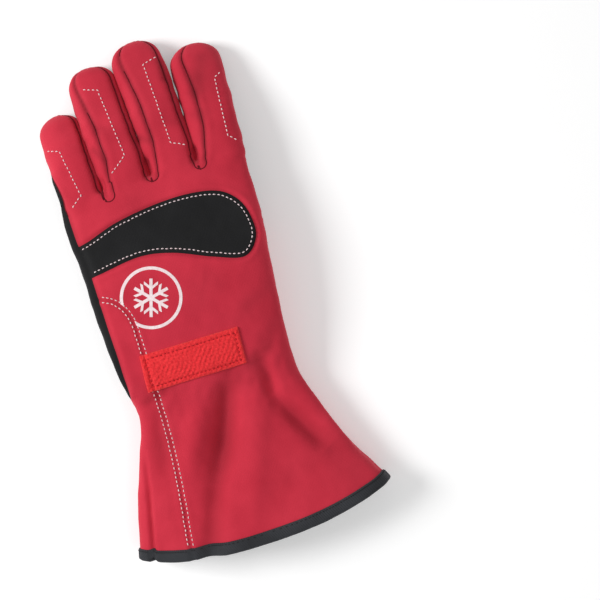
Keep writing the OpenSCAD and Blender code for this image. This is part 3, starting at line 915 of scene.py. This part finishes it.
def cloth_look(name, light, dark, rough=0.8, sheen=0.3, patch=35, weave=1.1, weave_depth=0.12, grain=0.35,
               grain_depth=0.08, tint=None, along=None):
    """A woven or knitted material: colour that varies softly, darkened by the piece's painted shade, a weave
    and a fine grain, in millimetres.
    """
    look = bpy.data.materials.new(name)
    look.use_nodes = True
    tree = look.node_tree
    tree.nodes.clear()
    light, dark = colour(*light), colour(*dark)

    def node(kind, values, **settings):
        """A new node; a value that is another node's output is linked."""
        made = tree.nodes.new("ShaderNode" + kind)
        for key, value in settings.items():
            setattr(made, key, value)
        for key, value in values.items():
            if isinstance(value, bpy.types.NodeSocket):
                tree.links.new(value, made.inputs[key])
            else:
                made.inputs[key].default_value = value
        return made

    def noise(scale_mm, detail):
        return node("TexNoise", {"Scale": 1 / (scale_mm * MM), "Detail": detail, "Roughness": 0.55,
                                 "Vector": here}).outputs["Fac"]

    def math_node(kind, a, b):
        return node("Math", {0: a, 1: b}, operation=kind).outputs[0]

    here = node("TexCoord", {}).outputs["Object"]
    fine = noise(grain, 2)
    mixed = math_node("ADD", math_node("MULTIPLY", noise(patch, 4), 0.72), math_node("MULTIPLY", fine, 0.28))
    ramp = node("ValToRGB", {"Fac": mixed})
    for element, at, tone in zip(ramp.color_ramp.elements, (0.36, 0.64), (dark, light)):
        element.position, element.color = at, tone
    # Painted shade: the colour is mixed towards 0.3 of the dark tone as the piece's shade attribute rises
    shaded = node("Attribute", {}, attribute_name="shade").outputs["Fac"]
    colour_with_painted_shade = node("Mix", {"Factor": math_node("MULTIPLY", shaded, 0.8), "A": ramp.outputs["Color"],
                          "B": tuple(c * 0.30 for c in dark[:3]) + (1,)}, data_type="RGBA", blend_type="MIX")
    if along:
        source = node("Attribute", {}, attribute_name="along").outputs["Fac"]
        woven = math_node("SINE", math_node("MULTIPLY", source, 2 * math.pi / along), 0)
    else:
        waves = []
        for turn in (0.6, -0.6):
            turned = node("Mapping", {"Rotation": (0, 0, turn), "Vector": here}).outputs["Vector"]
            waves.append(node("TexWave", {"Scale": 1 / (weave * MM) / 6.3, "Distortion": 0.6, "Detail": 1.0,
                                          "Vector": turned}).outputs["Fac"])
        woven = math_node("MULTIPLY", *waves)
    relief = node("Bump", {"Strength": 0.7, "Distance": weave_depth * MM, "Height": woven})
    relief = node("Bump", {"Strength": 0.8, "Distance": grain_depth * MM, "Height": fine,
                           "Normal": relief.outputs["Normal"]})
    shader = node("BsdfPrincipled", {
        "Base Color": colour_with_painted_shade.outputs["Result"], "Normal": relief.outputs["Normal"], "Roughness": rough,
        "Sheen Weight": sheen, "Sheen Roughness": 0.45, "Sheen Tint": colour(*tint) if tint else light,
        "Specular IOR Level": 0.22})
    node("OutputMaterial", {"Surface": shader.outputs["BSDF"]})
    return look


RED = cloth_look("red_softshell_cloth", (206, 48, 68), (190, 38, 58), 0.82, 0.25, weave=0.75,
                 weave_depth=0.05, tint=(255, 150, 160))
BLACK = cloth_look("black_stretch_cloth", (31, 31, 32), (20, 20, 21), 0.85, 0.22, weave=0.9,
                   weave_depth=0.06, tint=(120, 120, 125))
SUEDE = cloth_look("grey_suede", (122, 122, 124), (98, 98, 101), 0.95, 0.35, patch=14, weave=0.8,
                   weave_depth=0.03, grain=0.5, grain_depth=0.14, tint=(170, 170, 172))
FLEECE = cloth_look("dark_fleece", (52, 50, 54), (28, 27, 30), 0.95, 0.5, patch=3, weave=1.4,
                    weave_depth=0.05, grain=0.9, grain_depth=0.5, tint=(120, 118, 124))
TAPE = cloth_look("binding_tape", (58, 60, 64), (38, 39, 42), 0.75, 0.2, weave=0.8, along=1.35,
                  weave_depth=0.16, tint=(120, 120, 125))
LOOPS = cloth_look("loop_tape", (244, 58, 62), (218, 38, 46), 0.95, 0.6, patch=1.2, weave=1.3,
                   weave_depth=0.26, grain=0.7, grain_depth=0.36, tint=(255, 150, 140))
PRINT = cloth_look("white_print", (248, 236, 236), (236, 208, 212), 0.6, 0.1, patch=2.0, weave=0.8,
                   weave_depth=0.05)
WHITE_THREAD = cloth_look("white_thread", (250, 236, 236), (226, 196, 200), 0.6, 0.2, patch=0.8,
                          weave=0.4, weave_depth=0.08)
RED_THREAD = cloth_look("dark_red_thread", (206, 36, 48), (170, 26, 38), 0.6, 0.2, patch=0.8, weave=0.4,
                        weave_depth=0.08)
# A dark cord laid in the finger seams: painted shade of their grooves
SEAM_SHADE_CORD = cloth_look("dark_seam_cord", (108, 14, 28), (78, 8, 18), 0.9, 0.1, patch=3, weave=0.5,
                       weave_depth=0.06)
ELASTIC = cloth_look("white_elastic", (214, 212, 208), (180, 178, 176), 0.8, 0.2, patch=2, weave=1.0,
                     weave_depth=0.2)


# ---------------------------------------------------------------- the sewn panels

rest, skin_tri, skin_edges, finger_of = build_skin()
field = fields(rest, finger_of)
shape = displaced(rest, skin_tri, skin_edges, field)
shape_normals = normals(shape, skin_tri)
field["x"], field["y"], field["z"] = shape.T
field["nx"], field["ny"], field["nz"] = shape_normals.T
skin = np.column_stack([field[name] for name in NAMES])
cloth = Cloth(shape, skin_tri, shape_normals)


def mean(rows, tri, name):
    """One named value at the middle of each triangle."""
    return rows[tri, COL[name]].mean(1)


def panel(name, rows, tri, look, key, slot, *nodes):
    """One panel of the shell, from some of the skin's triangles."""
    part, faces = compact(rows, tri)
    piece = add_piece(name, part[:, :3], faces, part[:, 3:6], shade=part[:, COL["shade"]])
    finished(piece, look, key, slot, *nodes)


def sew_panels():
    """Cuts the skin along its seams, and makes one piece of each panel."""
    rows, tri = cut(skin, skin_tri, COL["hem"])
    tri = tri[mean(rows, tri, "hem") > 0]
    rows, tri = cut(rows, tri, COL["split"])
    on_hand = mean(rows, tri, "split") < 0
    hand, fingers = tri[on_hand], tri[~on_hand]

    for name in ("around_left", "around_right", "insert", "gore", "palm_edge"):
        rows, hand = cut(rows, hand, COL[name])
    x = mean(rows, hand, "x")
    back = np.where(x < 0, mean(rows, hand, "around_left") > 0, mean(rows, hand, "around_right") > 0)
    insert = mean(rows, hand, "insert") > 0
    gore = (mean(rows, hand, "gore") > 0) & (mean(rows, hand, "y") < 140)
    palm = mean(rows, hand, "palm_edge") > 0
    wrist_up = mean(rows, hand, "y") > 49
    groups = {
        "insert_panel": (back & insert, BLACK, "black_stretch", ["knuckle_insert"]),
        "side_gore": (back & ~insert & gore, RED, "red_softshell", ["hand_side_gore", "cuff_side_gore"]),
        "back_panel": (back & ~insert & ~gore, RED, "red_softshell", ["hand_back_panel", "cuff_back_panel"]),
        "palm_panel": (~back & palm, BLACK, "black_stretch", ["hand_palm_panel", "thumb_collar"]),
        "thumb_side_panel": (~back & ~palm & wrist_up, RED, "red_softshell", ["thenar_panel"]),
        "gauntlet_under_panel": (~back & ~palm & ~wrist_up, RED, "red_softshell", ["cuff_palm_panel"]),
    }
    for name, (mask, look, slot, nodes) in groups.items():
        panel(name, rows, hand[mask], look, "wrist", slot, *nodes)

    rows, fingers = cut(rows, fingers, COL["lap"])
    for name in ("finger_left", "finger_right", "finger_low"):
        rows, fingers = cut(rows, fingers, COL[name])
    which = np.round(mean(rows, fingers, "finger")).astype(int)
    lap = mean(rows, fingers, "lap") > 0
    u = mean(rows, fingers, "u")
    top = np.where(u < 0, mean(rows, fingers, "finger_left") > 0, mean(rows, fingers, "finger_right") > 0)
    low = mean(rows, fingers, "finger_low") < 0
    for k, f in enumerate(FINGERS):
        outer = ((f.name == "pinky") & (u < 0)) | ((f.name == "index") & (u > 0))
        side = ~top & ~low & ~outer
        palm_side = ~top & ~side
        parts = (("back", top, RED, "red_softshell"), ("sides", side, RED, "red_softshell"),
                 ("palm", palm_side, BLACK, "black_stretch"))
        for end, at_end, key, suffix in (("root", ~lap, "root:", "lower"), ("tip", lap, "tip:", "upper")):
            for part_name, mask, look, slot in parts:
                nodes = [f"{f.name}_{part_name}_{suffix}"]
                if f.name == "middle" and end == "root" and part_name == "sides":
                    nodes.append("web_gussets")
                panel(f"{f.name}_{part_name}_{end}", rows, fingers[(which == k) & at_end & mask], look,
                      key + f.name, slot, *nodes)
            seam_shade_cord(rows, fingers[(which == k) & at_end], f"{f.name}_seams_{end}", key + f.name)


def seam_shade_cord(rows, tri, name, key):
    """A thin dark cord along a finger's two seams, on the edges that the skin was cut on: painted shade of
    the seams' grooves.
    """
    edges = neighbours(tri)
    a, b = rows[edges[:, 0]], rows[edges[:, 1]]
    on_seam = np.zeros(len(edges), bool)
    for column, way in (("finger_left", -1), ("finger_right", 1)):
        both = (np.abs(a[:, COL[column]]) < 1e-9) & (np.abs(b[:, COL[column]]) < 1e-9)
        on_seam |= both & (a[:, COL["u"]] * way > 0) & (b[:, COL["u"]] * way > 0)
    on_seam &= (a[:, COL["nz"]] > 0.1) & (a[:, COL["w"]] > 0.5)
    for web in WEBS:
        on_seam &= web_gap(a[:, 0], a[:, 1], web) > -1.3
    a, b = a[on_seam], b[on_seam]
    ups = unit(a[:, 3:6])
    ways = b[:, :3] - a[:, :3]
    long_enough = np.linalg.norm(ways, axis=1) > 0.15
    centres = ((a + b) / 2)[long_enough, :3] - ups[long_enough] * 0.05
    made = thread(centres, ways[long_enough], ups[long_enough], 2.0, 0.34, 0.0)
    finished(add_piece(name, *made), SEAM_SHADE_CORD, key, "red_softshell")


sew_panels()


# ---------------------------------------------------------------- patches on the skin

def top_only(rows):
    """Nothing where the skin faces up, and far below zero elsewhere; added to a field, it keeps one side."""
    return np.where(rows[:, 5] > 0.1, 0, -50)


def under_only(rows):
    """The same for where the skin faces down."""
    return np.where(rows[:, 5] < -0.1, 0, -50)


def wrist_patch():
    """The loop tape over the back of the wrist, and the stitches that hold it."""
    def shape_field(rows):
        return np.minimum(inside_distance(rows[:, :2], PATCH), 9) + top_only(rows)

    def rise(rows):
        d = rows[:, -1]
        fuzz = 0.16 * ripples(rows[:, :3], 1.9, 9)
        stitched = bump(d - 3.0, 0.5) * 0.45
        return 0.25 + 1.25 * edge_round(d, 1.1) - stitched + fuzz * step(d, 0.3, 1.5)

    rows, tri = patch_of(skin, skin_tri, shape_field, 1)
    finished(add_piece("loop_patch", *plate(rows, tri, rise)), LOOPS, "wrist", "loop_tape", "wrist_patch")
    inner = np.array([(-37, 59), (19, 58), (20.6, 74.6), (-35, 75.7), (-37, 59)])
    second = np.array([(-35.2, 59.5), (-33.4, 75)])
    made = [sewn(cloth, line, 2.5, 0.72, 0.36, raise_by=1.1) for line in (inner, second)]
    finished(add_piece("loop_patch_stitches", *joined_triangles(made)), RED_THREAD, "wrist", "loop_tape")


def joined_triangles(parts):
    """Several meshes of triangles as one; a part may be None."""
    parts = [p for p in parts if p is not None]
    start, points, faces = 0, [], []
    for p, t in parts:
        points.append(p)
        faces.append(t + start)
        start += len(p)
    return np.vstack(points), np.vstack(faces)


def badge():
    """The printed ring and the generic snowflake in it."""
    def on_back(rows):
        return -rows[:, COL["gore"]] - 1.0 + top_only(rows)

    def ring(rows):
        r = np.linalg.norm(rows[:, :2] - BADGE, axis=1)
        return np.minimum(BADGE_LINE - np.abs(r - BADGE_R), on_back(rows))

    def snowflake(rows):
        p = rows[:, :2] - BADGE
        best = np.full(len(p), -9.0)
        for k in range(6):
            a = math.radians(60 * k + 12)
            way, side = np.array([math.cos(a), math.sin(a)]), np.array([-math.sin(a), math.cos(a)])
            s, t = p @ way, np.abs(p @ side)
            arm = np.minimum(np.minimum(0.95 - t, 11.5 - s), s + 0.5)
            barb = np.minimum(0.75 - np.abs(s - 5.6 - t * 0.8) * 0.78, 4.2 - t)
            best = np.maximum(best, np.maximum(arm, barb))
        return np.minimum(best, on_back(rows))

    for name, mark in (("badge_ring", ring), ("badge_snowflake", snowflake)):
        rows, tri = patch_of(skin, skin_tri, mark, 2, 1.5)
        finished(add_piece(name, *plate(rows, tri, lambda r: np.full(len(r), 0.14), 0.1)), PRINT, "hand",
                 "red_softshell")


def palm_thread(path, closed=False):
    """Stitches on the palm side, standing on its suede."""
    return sewn(cloth, path, 2.6, 0.7, 0.3, closed, down=False, raise_by=0.35)


def palm_patches():
    """The suede overlays of the palm and the grip patches of the fingers, with their stitches."""
    lines = [np.array(q, float) for q in QUILT]

    def overlay_field(rows):
        both = np.maximum(inside_distance(rows[:, :2], OVERLAY), inside_distance(rows[:, :2], LOBE))
        return np.minimum(both, 9) + under_only(rows)

    def rise(rows):
        d = rows[:, -1]
        height = 0.2 + 0.75 * edge_round(d, 1.2) - 0.45 * bump(d - 2.2, 0.5)
        for line in lines:
            height -= 0.45 * bump(line_distance(rows[:, :2], line)[0], 0.8)
        return height + 0.05 * ripples(rows[:, :3], 4)

    rows, tri = patch_of(skin, skin_tri, overlay_field, 0)
    piece = add_piece("palm_suede", *plate(rows, tri, rise))
    finished(piece, SUEDE, "hand", "grey_suede", "palm_overlay")
    made = [palm_thread(offset_path(path, 2.2, True), True) for path in (OVERLAY[::-1], LOBE[::-1])]
    made += [palm_thread(line) for line in lines]
    finished(add_piece("palm_stitches", *joined_triangles(made)), RED_THREAD, "hand", "grey_suede")
    for k, f in enumerate(FINGERS):
        # Where the patch begins and ends along the finger, half its width, and the radius of its corners
        low, high, half, corner = f.lower - 5, f.length - 11.5, 6.6, 2

        def tip_field(rows):
            u = np.abs(rows[:, COL["u"]]) - half + corner
            v = np.abs(rows[:, COL["v"]] - (low + high) / 2) - (high - low) / 2 + corner
            outside = np.hypot(np.maximum(u, 0), np.maximum(v, 0)) + np.minimum(np.maximum(u, v), 0)
            mine = (rows[:, COL["finger"]] == k) & (rows[:, COL["y"]] > SPLIT_Y)
            return np.where(mine, corner - outside, -50) + under_only(rows)

        def tip_rise(rows):
            return 0.2 + 0.75 * edge_round(rows[:, -1], 1.2) - 0.4 * bump(rows[:, -1] - 2.0, 0.5)

        rows, tri = patch_of(skin, skin_tri, tip_field, 1)
        piece = add_piece(f.name + "_grip_patch", *plate(rows, tri, tip_rise))
        finished(piece, SUEDE, "tip:" + f.name, "grey_suede", f.name + "_tip_patch")
        across, near, far = half - corner, low + corner, high - corner
        box = ((-across, near), (across, near), (across, far), (-across, far))
        made = palm_thread([(f.centre(v) + f.side * u)[:2] for u, v in box], True)
        finished(add_piece(f.name + "_tip_stitches", *made), RED_THREAD, "tip:" + f.name, "grey_suede")


wrist_patch()
badge()
palm_patches()


# ---------------------------------------------------------------- white topstitching

def topstitches():
    """The white rows round the insert, beside the gore and down each finger's back."""
    def on_back(x, y):
        return x > HAND(y)[0] + LEFT_INSET(y)[0] + 1.5

    def beside_gore(x, y):
        return (inside_distance(np.array([[x, y]]), PATCH)[0] < 0.5 and y > hem(x) + 7 and on_back(x, y)
                and inside_distance(np.array([[x, y]]), insert_line)[0] < -1)

    insert_line = offset_path(INSERT, -2.6, True)
    made = [sewn(cloth, insert_line, closed=True, where=on_back)]
    made += [sewn(cloth, offset_path(GORE, side), where=beside_gore) for side in (1.6, -1.6)]
    finished(add_piece("back_topstitches", *joined_triangles(made)), WHITE_THREAD, "wrist", "red_softshell")

    lines = {"pinky": [(-55.0, 214.7), (-46.9, 211.6), (-42, 181.5), (-50.5, 175)],
             "ring": [(-22.6, 244), (-13.8, 240.5), (-9.6, 196.5), (-20.5, 188.5)],
             "middle": [(26.6, 249.6), (17.5, 246.8), (19.3, 195.4), (28.2, 191)],
             "index": [(61.0, 228.4), (56.3, 225.4), (53.4, 188.8), (58.2, 184)]}
    for f in FINGERS:
        corners = np.array(lines[f.name])
        path = np.vstack([np.linspace(a, b, 12) for a, b in zip(corners[:-1], corners[1:])])
        for end, at_tip in (("root", False), ("tip", True)):
            def at_end(x, y):
                ahead = (x - f.root[0]) * math.sin(f.yaw) + (y - f.root[1]) * math.cos(f.yaw)
                return (ahead >= f.lower * LAP_SHARE) == at_tip

            made = sewn(cloth, path, where=at_end)
            if made:
                finished(add_piece(f"{f.name}_topstitches_{end}", *made), WHITE_THREAD, f"{end}:{f.name}",
                         "red_softshell")



def elastic_stitches():
    """The zigzag that holds the elastic, over the gathers of the palm side."""
    x = np.arange(-44, 45, 3.6)
    path = np.column_stack([x, wrist_line(x) + 2.6 * (-1.0) ** np.arange(len(x))])
    made = [sewn(cloth, path, 2.3, 0.75, 0.34, down=False, raise_by=0.15)]
    made.append(sewn(cloth, np.array([(-46, 46.8), (17, 45.4)]), 2.6, 0.7, 0.32, down=False))
    finished(add_piece("elastic_stitches", *joined_triangles(made)), WHITE_THREAD, "wrist", "red_softshell")


topstitches()
elastic_stitches()


# ---------------------------------------------------------------- the open end: binding, lining, elastic

AROUND = 420
# How far inside the skin the lining lies
WALL = 2.6


def skin_ring(y_of, count=AROUND):
    """Points and normals round the cuff or hand, where y_of says for each angle and its x."""
    points, ways = [], []
    for a in np.arange(count) * 2 * math.pi / count:
        y = y_of(0.0)
        for _ in range(3):
            left, right, low, high = HAND(y)
            half, middle, rise = (right - left) / 2, (low + high) / 2, (high - low) / 2
            c, s = math.cos(a), math.sin(a)
            across = math.copysign(abs(c) ** (2 / HAND_SHARP), c) * half
            above = math.copysign(abs(s) ** (2 / HAND_SHARP), s) * rise
            y = y_of((left + right) / 2 + across)
        centre = np.array([(left + right) / 2, y, middle])
        start = centre + np.array([across * 0.5, 0, above * 0.2])
        way = np.array([across * 0.5, 0, above * 0.8])
        hit, n = cloth.shot(start, way / np.linalg.norm(way))
        if hit is None:
            hit, n = centre + [across, 0, above], way / np.linalg.norm(way)
        points.append(hit)
        ways.append(n)
    return np.array(points), np.array(ways)


def ring_surface(rings, closed):
    """Triangles over rings of equal length; closed joins the last ring to the first."""
    n, m = len(rings), len(rings[0])
    faces = []
    for j in range(n if closed else n - 1):
        k = (j + 1) % n
        i = np.arange(m)
        a, b = j * m + i, j * m + (i + 1) % m
        c, d = k * m + (i + 1) % m, k * m + i
        faces += [np.column_stack([a, c, b]), np.column_stack([a, d, c])]
    return np.vstack(rings), np.vstack(faces)


def binding():
    """The tape folded round the hem, and the two rows of stitches that hold it."""
    # Round the tape from its outer edge to its inner one: how far up the cuff, and how far off the skin
    profile = [(6.6, 0.0), (6.4, 0.75), (5.7, 1.0), (4.2, 1.08), (2.6, 1.08), (1.2, 1.05), (0.1, 0.9),
               (-0.8, 0.1), (-1.1, -1.2), (-0.8, -2.6), (0.2, -3.5), (2.0, -3.7), (4.6, -3.7), (5.2, -3.1),
               (5.2, -2.0)]
    cache = {}
    rings, around = [], []
    for t, lift in profile:
        deep = max(t, 0.0)
        if deep not in cache:
            cache[deep] = skin_ring(lambda x: hem(x) + deep)
        points, ways = cache[deep]
        ring = points + ways * lift
        ring[:, 1] += min(t, 0.0)
        ring[:, 2] = np.maximum(ring[:, 2], 0.35)
        rings.append(ring)
        legs = np.linalg.norm(np.diff(points, axis=0, prepend=points[-1:]), axis=1)
        around.append(np.cumsum(legs))
    co, tri = ring_surface(rings, True)
    piece = add_piece("hem_tape", co, tri[:, ::-1], along=np.concatenate(around))
    finished(piece, TAPE, "wrist", "binding_tape", "hem_binding")
    for name, t in (("hem_stitches_outer", 5.2), ("hem_stitches_inner", 4.7)):
        points, ways = skin_ring(lambda x: hem(x) + t, 210)
        lift = 1.0 if t > 5 else -3.75
        ahead = np.roll(points, -1, axis=0) - np.roll(points, 1, axis=0)
        ahead /= np.linalg.norm(ahead, axis=1, keepdims=True)
        made = thread(points + ways * lift, ahead, ways * (1 if lift > 0 else -1), 1.7, 0.22, 0.12)
        finished(add_piece(name, *made), BLACK, "wrist", "binding_tape")


def triangulated(faces):
    """Triangles and quads as triangles."""
    triangles = []
    for face in faces:
        triangles += [face] if len(face) == 3 else [face[:3], (face[0], face[2], face[3])]
    return np.array(triangles)


def lining():
    """The fleece of the hand, the cuff and the fingers, and the elastic inside the wrist."""
    depths = np.concatenate([np.linspace(4.5, 60, 26), np.linspace(66, 176, 18)])
    rings = []
    for depth in depths:
        points, ways = skin_ring(lambda x: hem(x) * (1 - depth / 230) + depth, 200)
        flat = ways * [1, 0, 1]
        rings.append(points - flat / np.linalg.norm(flat, axis=1, keepdims=True) * WALL)
    co, tri = ring_surface(rings, False)
    n = normals(co, tri)
    co = co + n * (0.22 * ripples(co, 6) + 0.15 * ripples(co, 2.4))[:, None]
    finished(add_piece("hand_lining", co, tri), FLEECE, "wrist", "lining_fleece", "hand_liner", "cuff_liner")
    band = []
    for y, lift in ((-3.2, 0), (-3.0, 1.0), (-1, 1.2), (1, 1.2), (3.0, 1.0), (3.2, 0)):
        points, ways = skin_ring(lambda x: 34 + y, 200)
        ring = (points - ways * (WALL + 0.9 + lift))[100:]
        for _ in range(3):
            ring[1:-1] = (ring[:-2] + 2 * ring[1:-1] + ring[2:]) / 4
        band.append(ring)
    m = len(band[0])
    faces = []
    for j in range(len(band) - 1):
        i = np.arange(m - 1)
        faces += [np.column_stack([j * m + i, j * m + i + 1, (j + 1) * m + i + 1]),
                  np.column_stack([j * m + i, (j + 1) * m + i + 1, (j + 1) * m + i])]
    finished(add_piece("elastic_band", np.vstack(band), np.vstack(faces)), ELASTIC, "wrist", "elastic",
             "wrist_elastic")
    for f in FINGERS:
        sections = list(finger_sections(f, 2.0, 2.2))
        for end, low, high, suffix in (("root", 0, f.lower * LAP_SHARE + 3, "lower"),
                                       ("tip", f.lower * LAP_SHARE - 3, 999, "upper")):
            chosen = [s for s in sections if low <= f.local(np.array([s[0]]))[1][0] <= high]
            points, faces = tube(chosen, 24)
            piece = add_piece(f"{f.name}_lining_{end}", points, triangulated(faces))
            finished(piece, FLEECE, f"{end}:{f.name}", "lining_fleece", f"{f.name}_liner_{suffix}")


binding()
lining()


# ---------------------------------------------------------------- the thumb

def thumb():
    """The folded-in thumb: its palm and back halves in two lengths, and its lining."""
    co, tri = remeshed(*tube(list(thumb_sections()), 64), 1.2)
    edges = neighbours(tri)
    co = relaxed(co, edges, 4)
    v = (co - THUMB_AT) @ THUMB_DIR
    w = co[:, 2] - THUMB(v)[:, 2]
    n = normals(co, tri)
    height = seam(w, 0.6, 1.0, 0.25) + 0.25 * ripples(co, 22) + 0.1 * ripples(co, 8)
    height -= 0.5 * bump(v - THUMB_LOWER, 3) * step(np.abs(w), 1, 4)
    co = co + n * height[:, None]
    co[:, 2] = np.maximum(co[:, 2], 0.3)
    n = normals(co, tri)
    rows = np.column_stack([co, n, w, v - THUMB_LOWER * 0.62, v + 47])
    for column in (6, 7, 8):
        rows, tri = cut(rows, tri, column)
    tri = tri[rows[tri, 8].mean(1) > 0]
    # The end that lies inside the hand is left out, so that it doesn't show through the lining
    hidden = np.zeros(len(rows), bool)
    for i in np.flatnonzero(rows[:, 8] < 30):
        hit, way, _, _ = cloth.tree.find_nearest(rows[i, :3].tolist())
        hidden[i] = (Vector(rows[i, :3]) - hit).dot(way) < -1.8
    tri = tri[~hidden[tri].all(1)]
    over = rows[tri, 6].mean(1) > 0
    far = rows[tri, 7].mean(1) > 0
    for name, mask, look, slot, key, node_name in (
            ("thumb_palm_root", over & ~far, RED, "red_softshell", "thumb_root", "thumb_palm_lower"),
            ("thumb_back_root", ~over & ~far, RED, "red_softshell", "thumb_root", "thumb_back_lower"),
            ("thumb_palm_tip", over & far, BLACK, "black_stretch", "thumb_tip", "thumb_palm_upper"),
            ("thumb_back_tip", ~over & far, RED, "red_softshell", "thumb_tip", "thumb_back_upper")):
        part, faces = compact(rows, tri[mask])
        finished(add_piece(name, part[:, :3], faces, part[:, 3:6]), look, key, slot, node_name)
    sections = list(thumb_sections(2.2))
    for end, low, high, node_name in (("root", -20, 30, "thumb_liner_lower"),
                                      ("tip", 24, 99, "thumb_liner_upper")):
        chosen = [s for s in sections if low <= (np.array(s[0]) - THUMB_AT) @ THUMB_DIR <= high]
        points, faces = tube(chosen, 24)
        piece = add_piece("thumb_lining_" + end, points, triangulated(faces))
        finished(piece, FLEECE, "thumb_" + end, "lining_fleece", node_name)


thumb()


# ---------------------------------------------------------------- camera, light and floor

def studio():
    """The white world, the pale floor, two lamps and the camera, straight above as in the photo."""
    scene = bpy.context.scene
    scene.view_settings.view_transform = "Standard"
    world = bpy.data.worlds.new("studio")
    scene.world = world
    world.use_nodes = True
    world.node_tree.nodes["Background"].inputs["Color"].default_value = (1, 1, 1, 1)
    world.node_tree.nodes["Background"].inputs["Strength"].default_value = 0.42
    mesh = bpy.data.meshes.new("floor")
    mesh.from_pydata([(-4, -4, 0), (4, -4, 0), (4, 4, 0), (-4, 4, 0)], [], [(0, 1, 2, 3)])
    floor = bpy.data.objects.new("floor", mesh)
    bpy.context.collection.objects.link(floor)
    paint = bpy.data.materials.new("pale_floor")
    paint.use_nodes = True
    shader = paint.node_tree.nodes["Principled BSDF"]
    shader.inputs["Base Color"].default_value = (0.9, 0.9, 0.9, 1)
    shader.inputs["Emission Color"].default_value = (1, 1, 1, 1)
    shader.inputs["Emission Strength"].default_value = 0.25
    shader.inputs["Roughness"].default_value = 0.9
    mesh.materials.append(paint)
    for name, at, size, power in (("key", (-0.95, 0.45, 0.85), 0.5, 13), ("fill", (0.7, -0.6, 1.1), 1.2, 3)):
        light = bpy.data.lights.new(name, "AREA")
        light.size, light.energy = size, power
        lamp = bpy.data.objects.new(name, light)
        lamp.location = at
        lamp.rotation_euler = (Vector((0, 0.09, 0.02)) - Vector(at)).to_track_quat("-Z", "Y").to_euler()
        bpy.context.collection.objects.link(lamp)
    view_width, roll, lens = 0.363, math.radians(-18), 100
    data = bpy.data.cameras.new("camera")
    data.lens, data.sensor_width = lens, 36
    distance = view_width * lens / 36
    camera = bpy.data.objects.new("camera", data)
    camera.location = (0.0641, 0.0809, distance + 0.028)
    camera.rotation_euler = (0, 0, roll)
    bpy.context.collection.objects.link(camera)
    scene.camera = camera


studio()
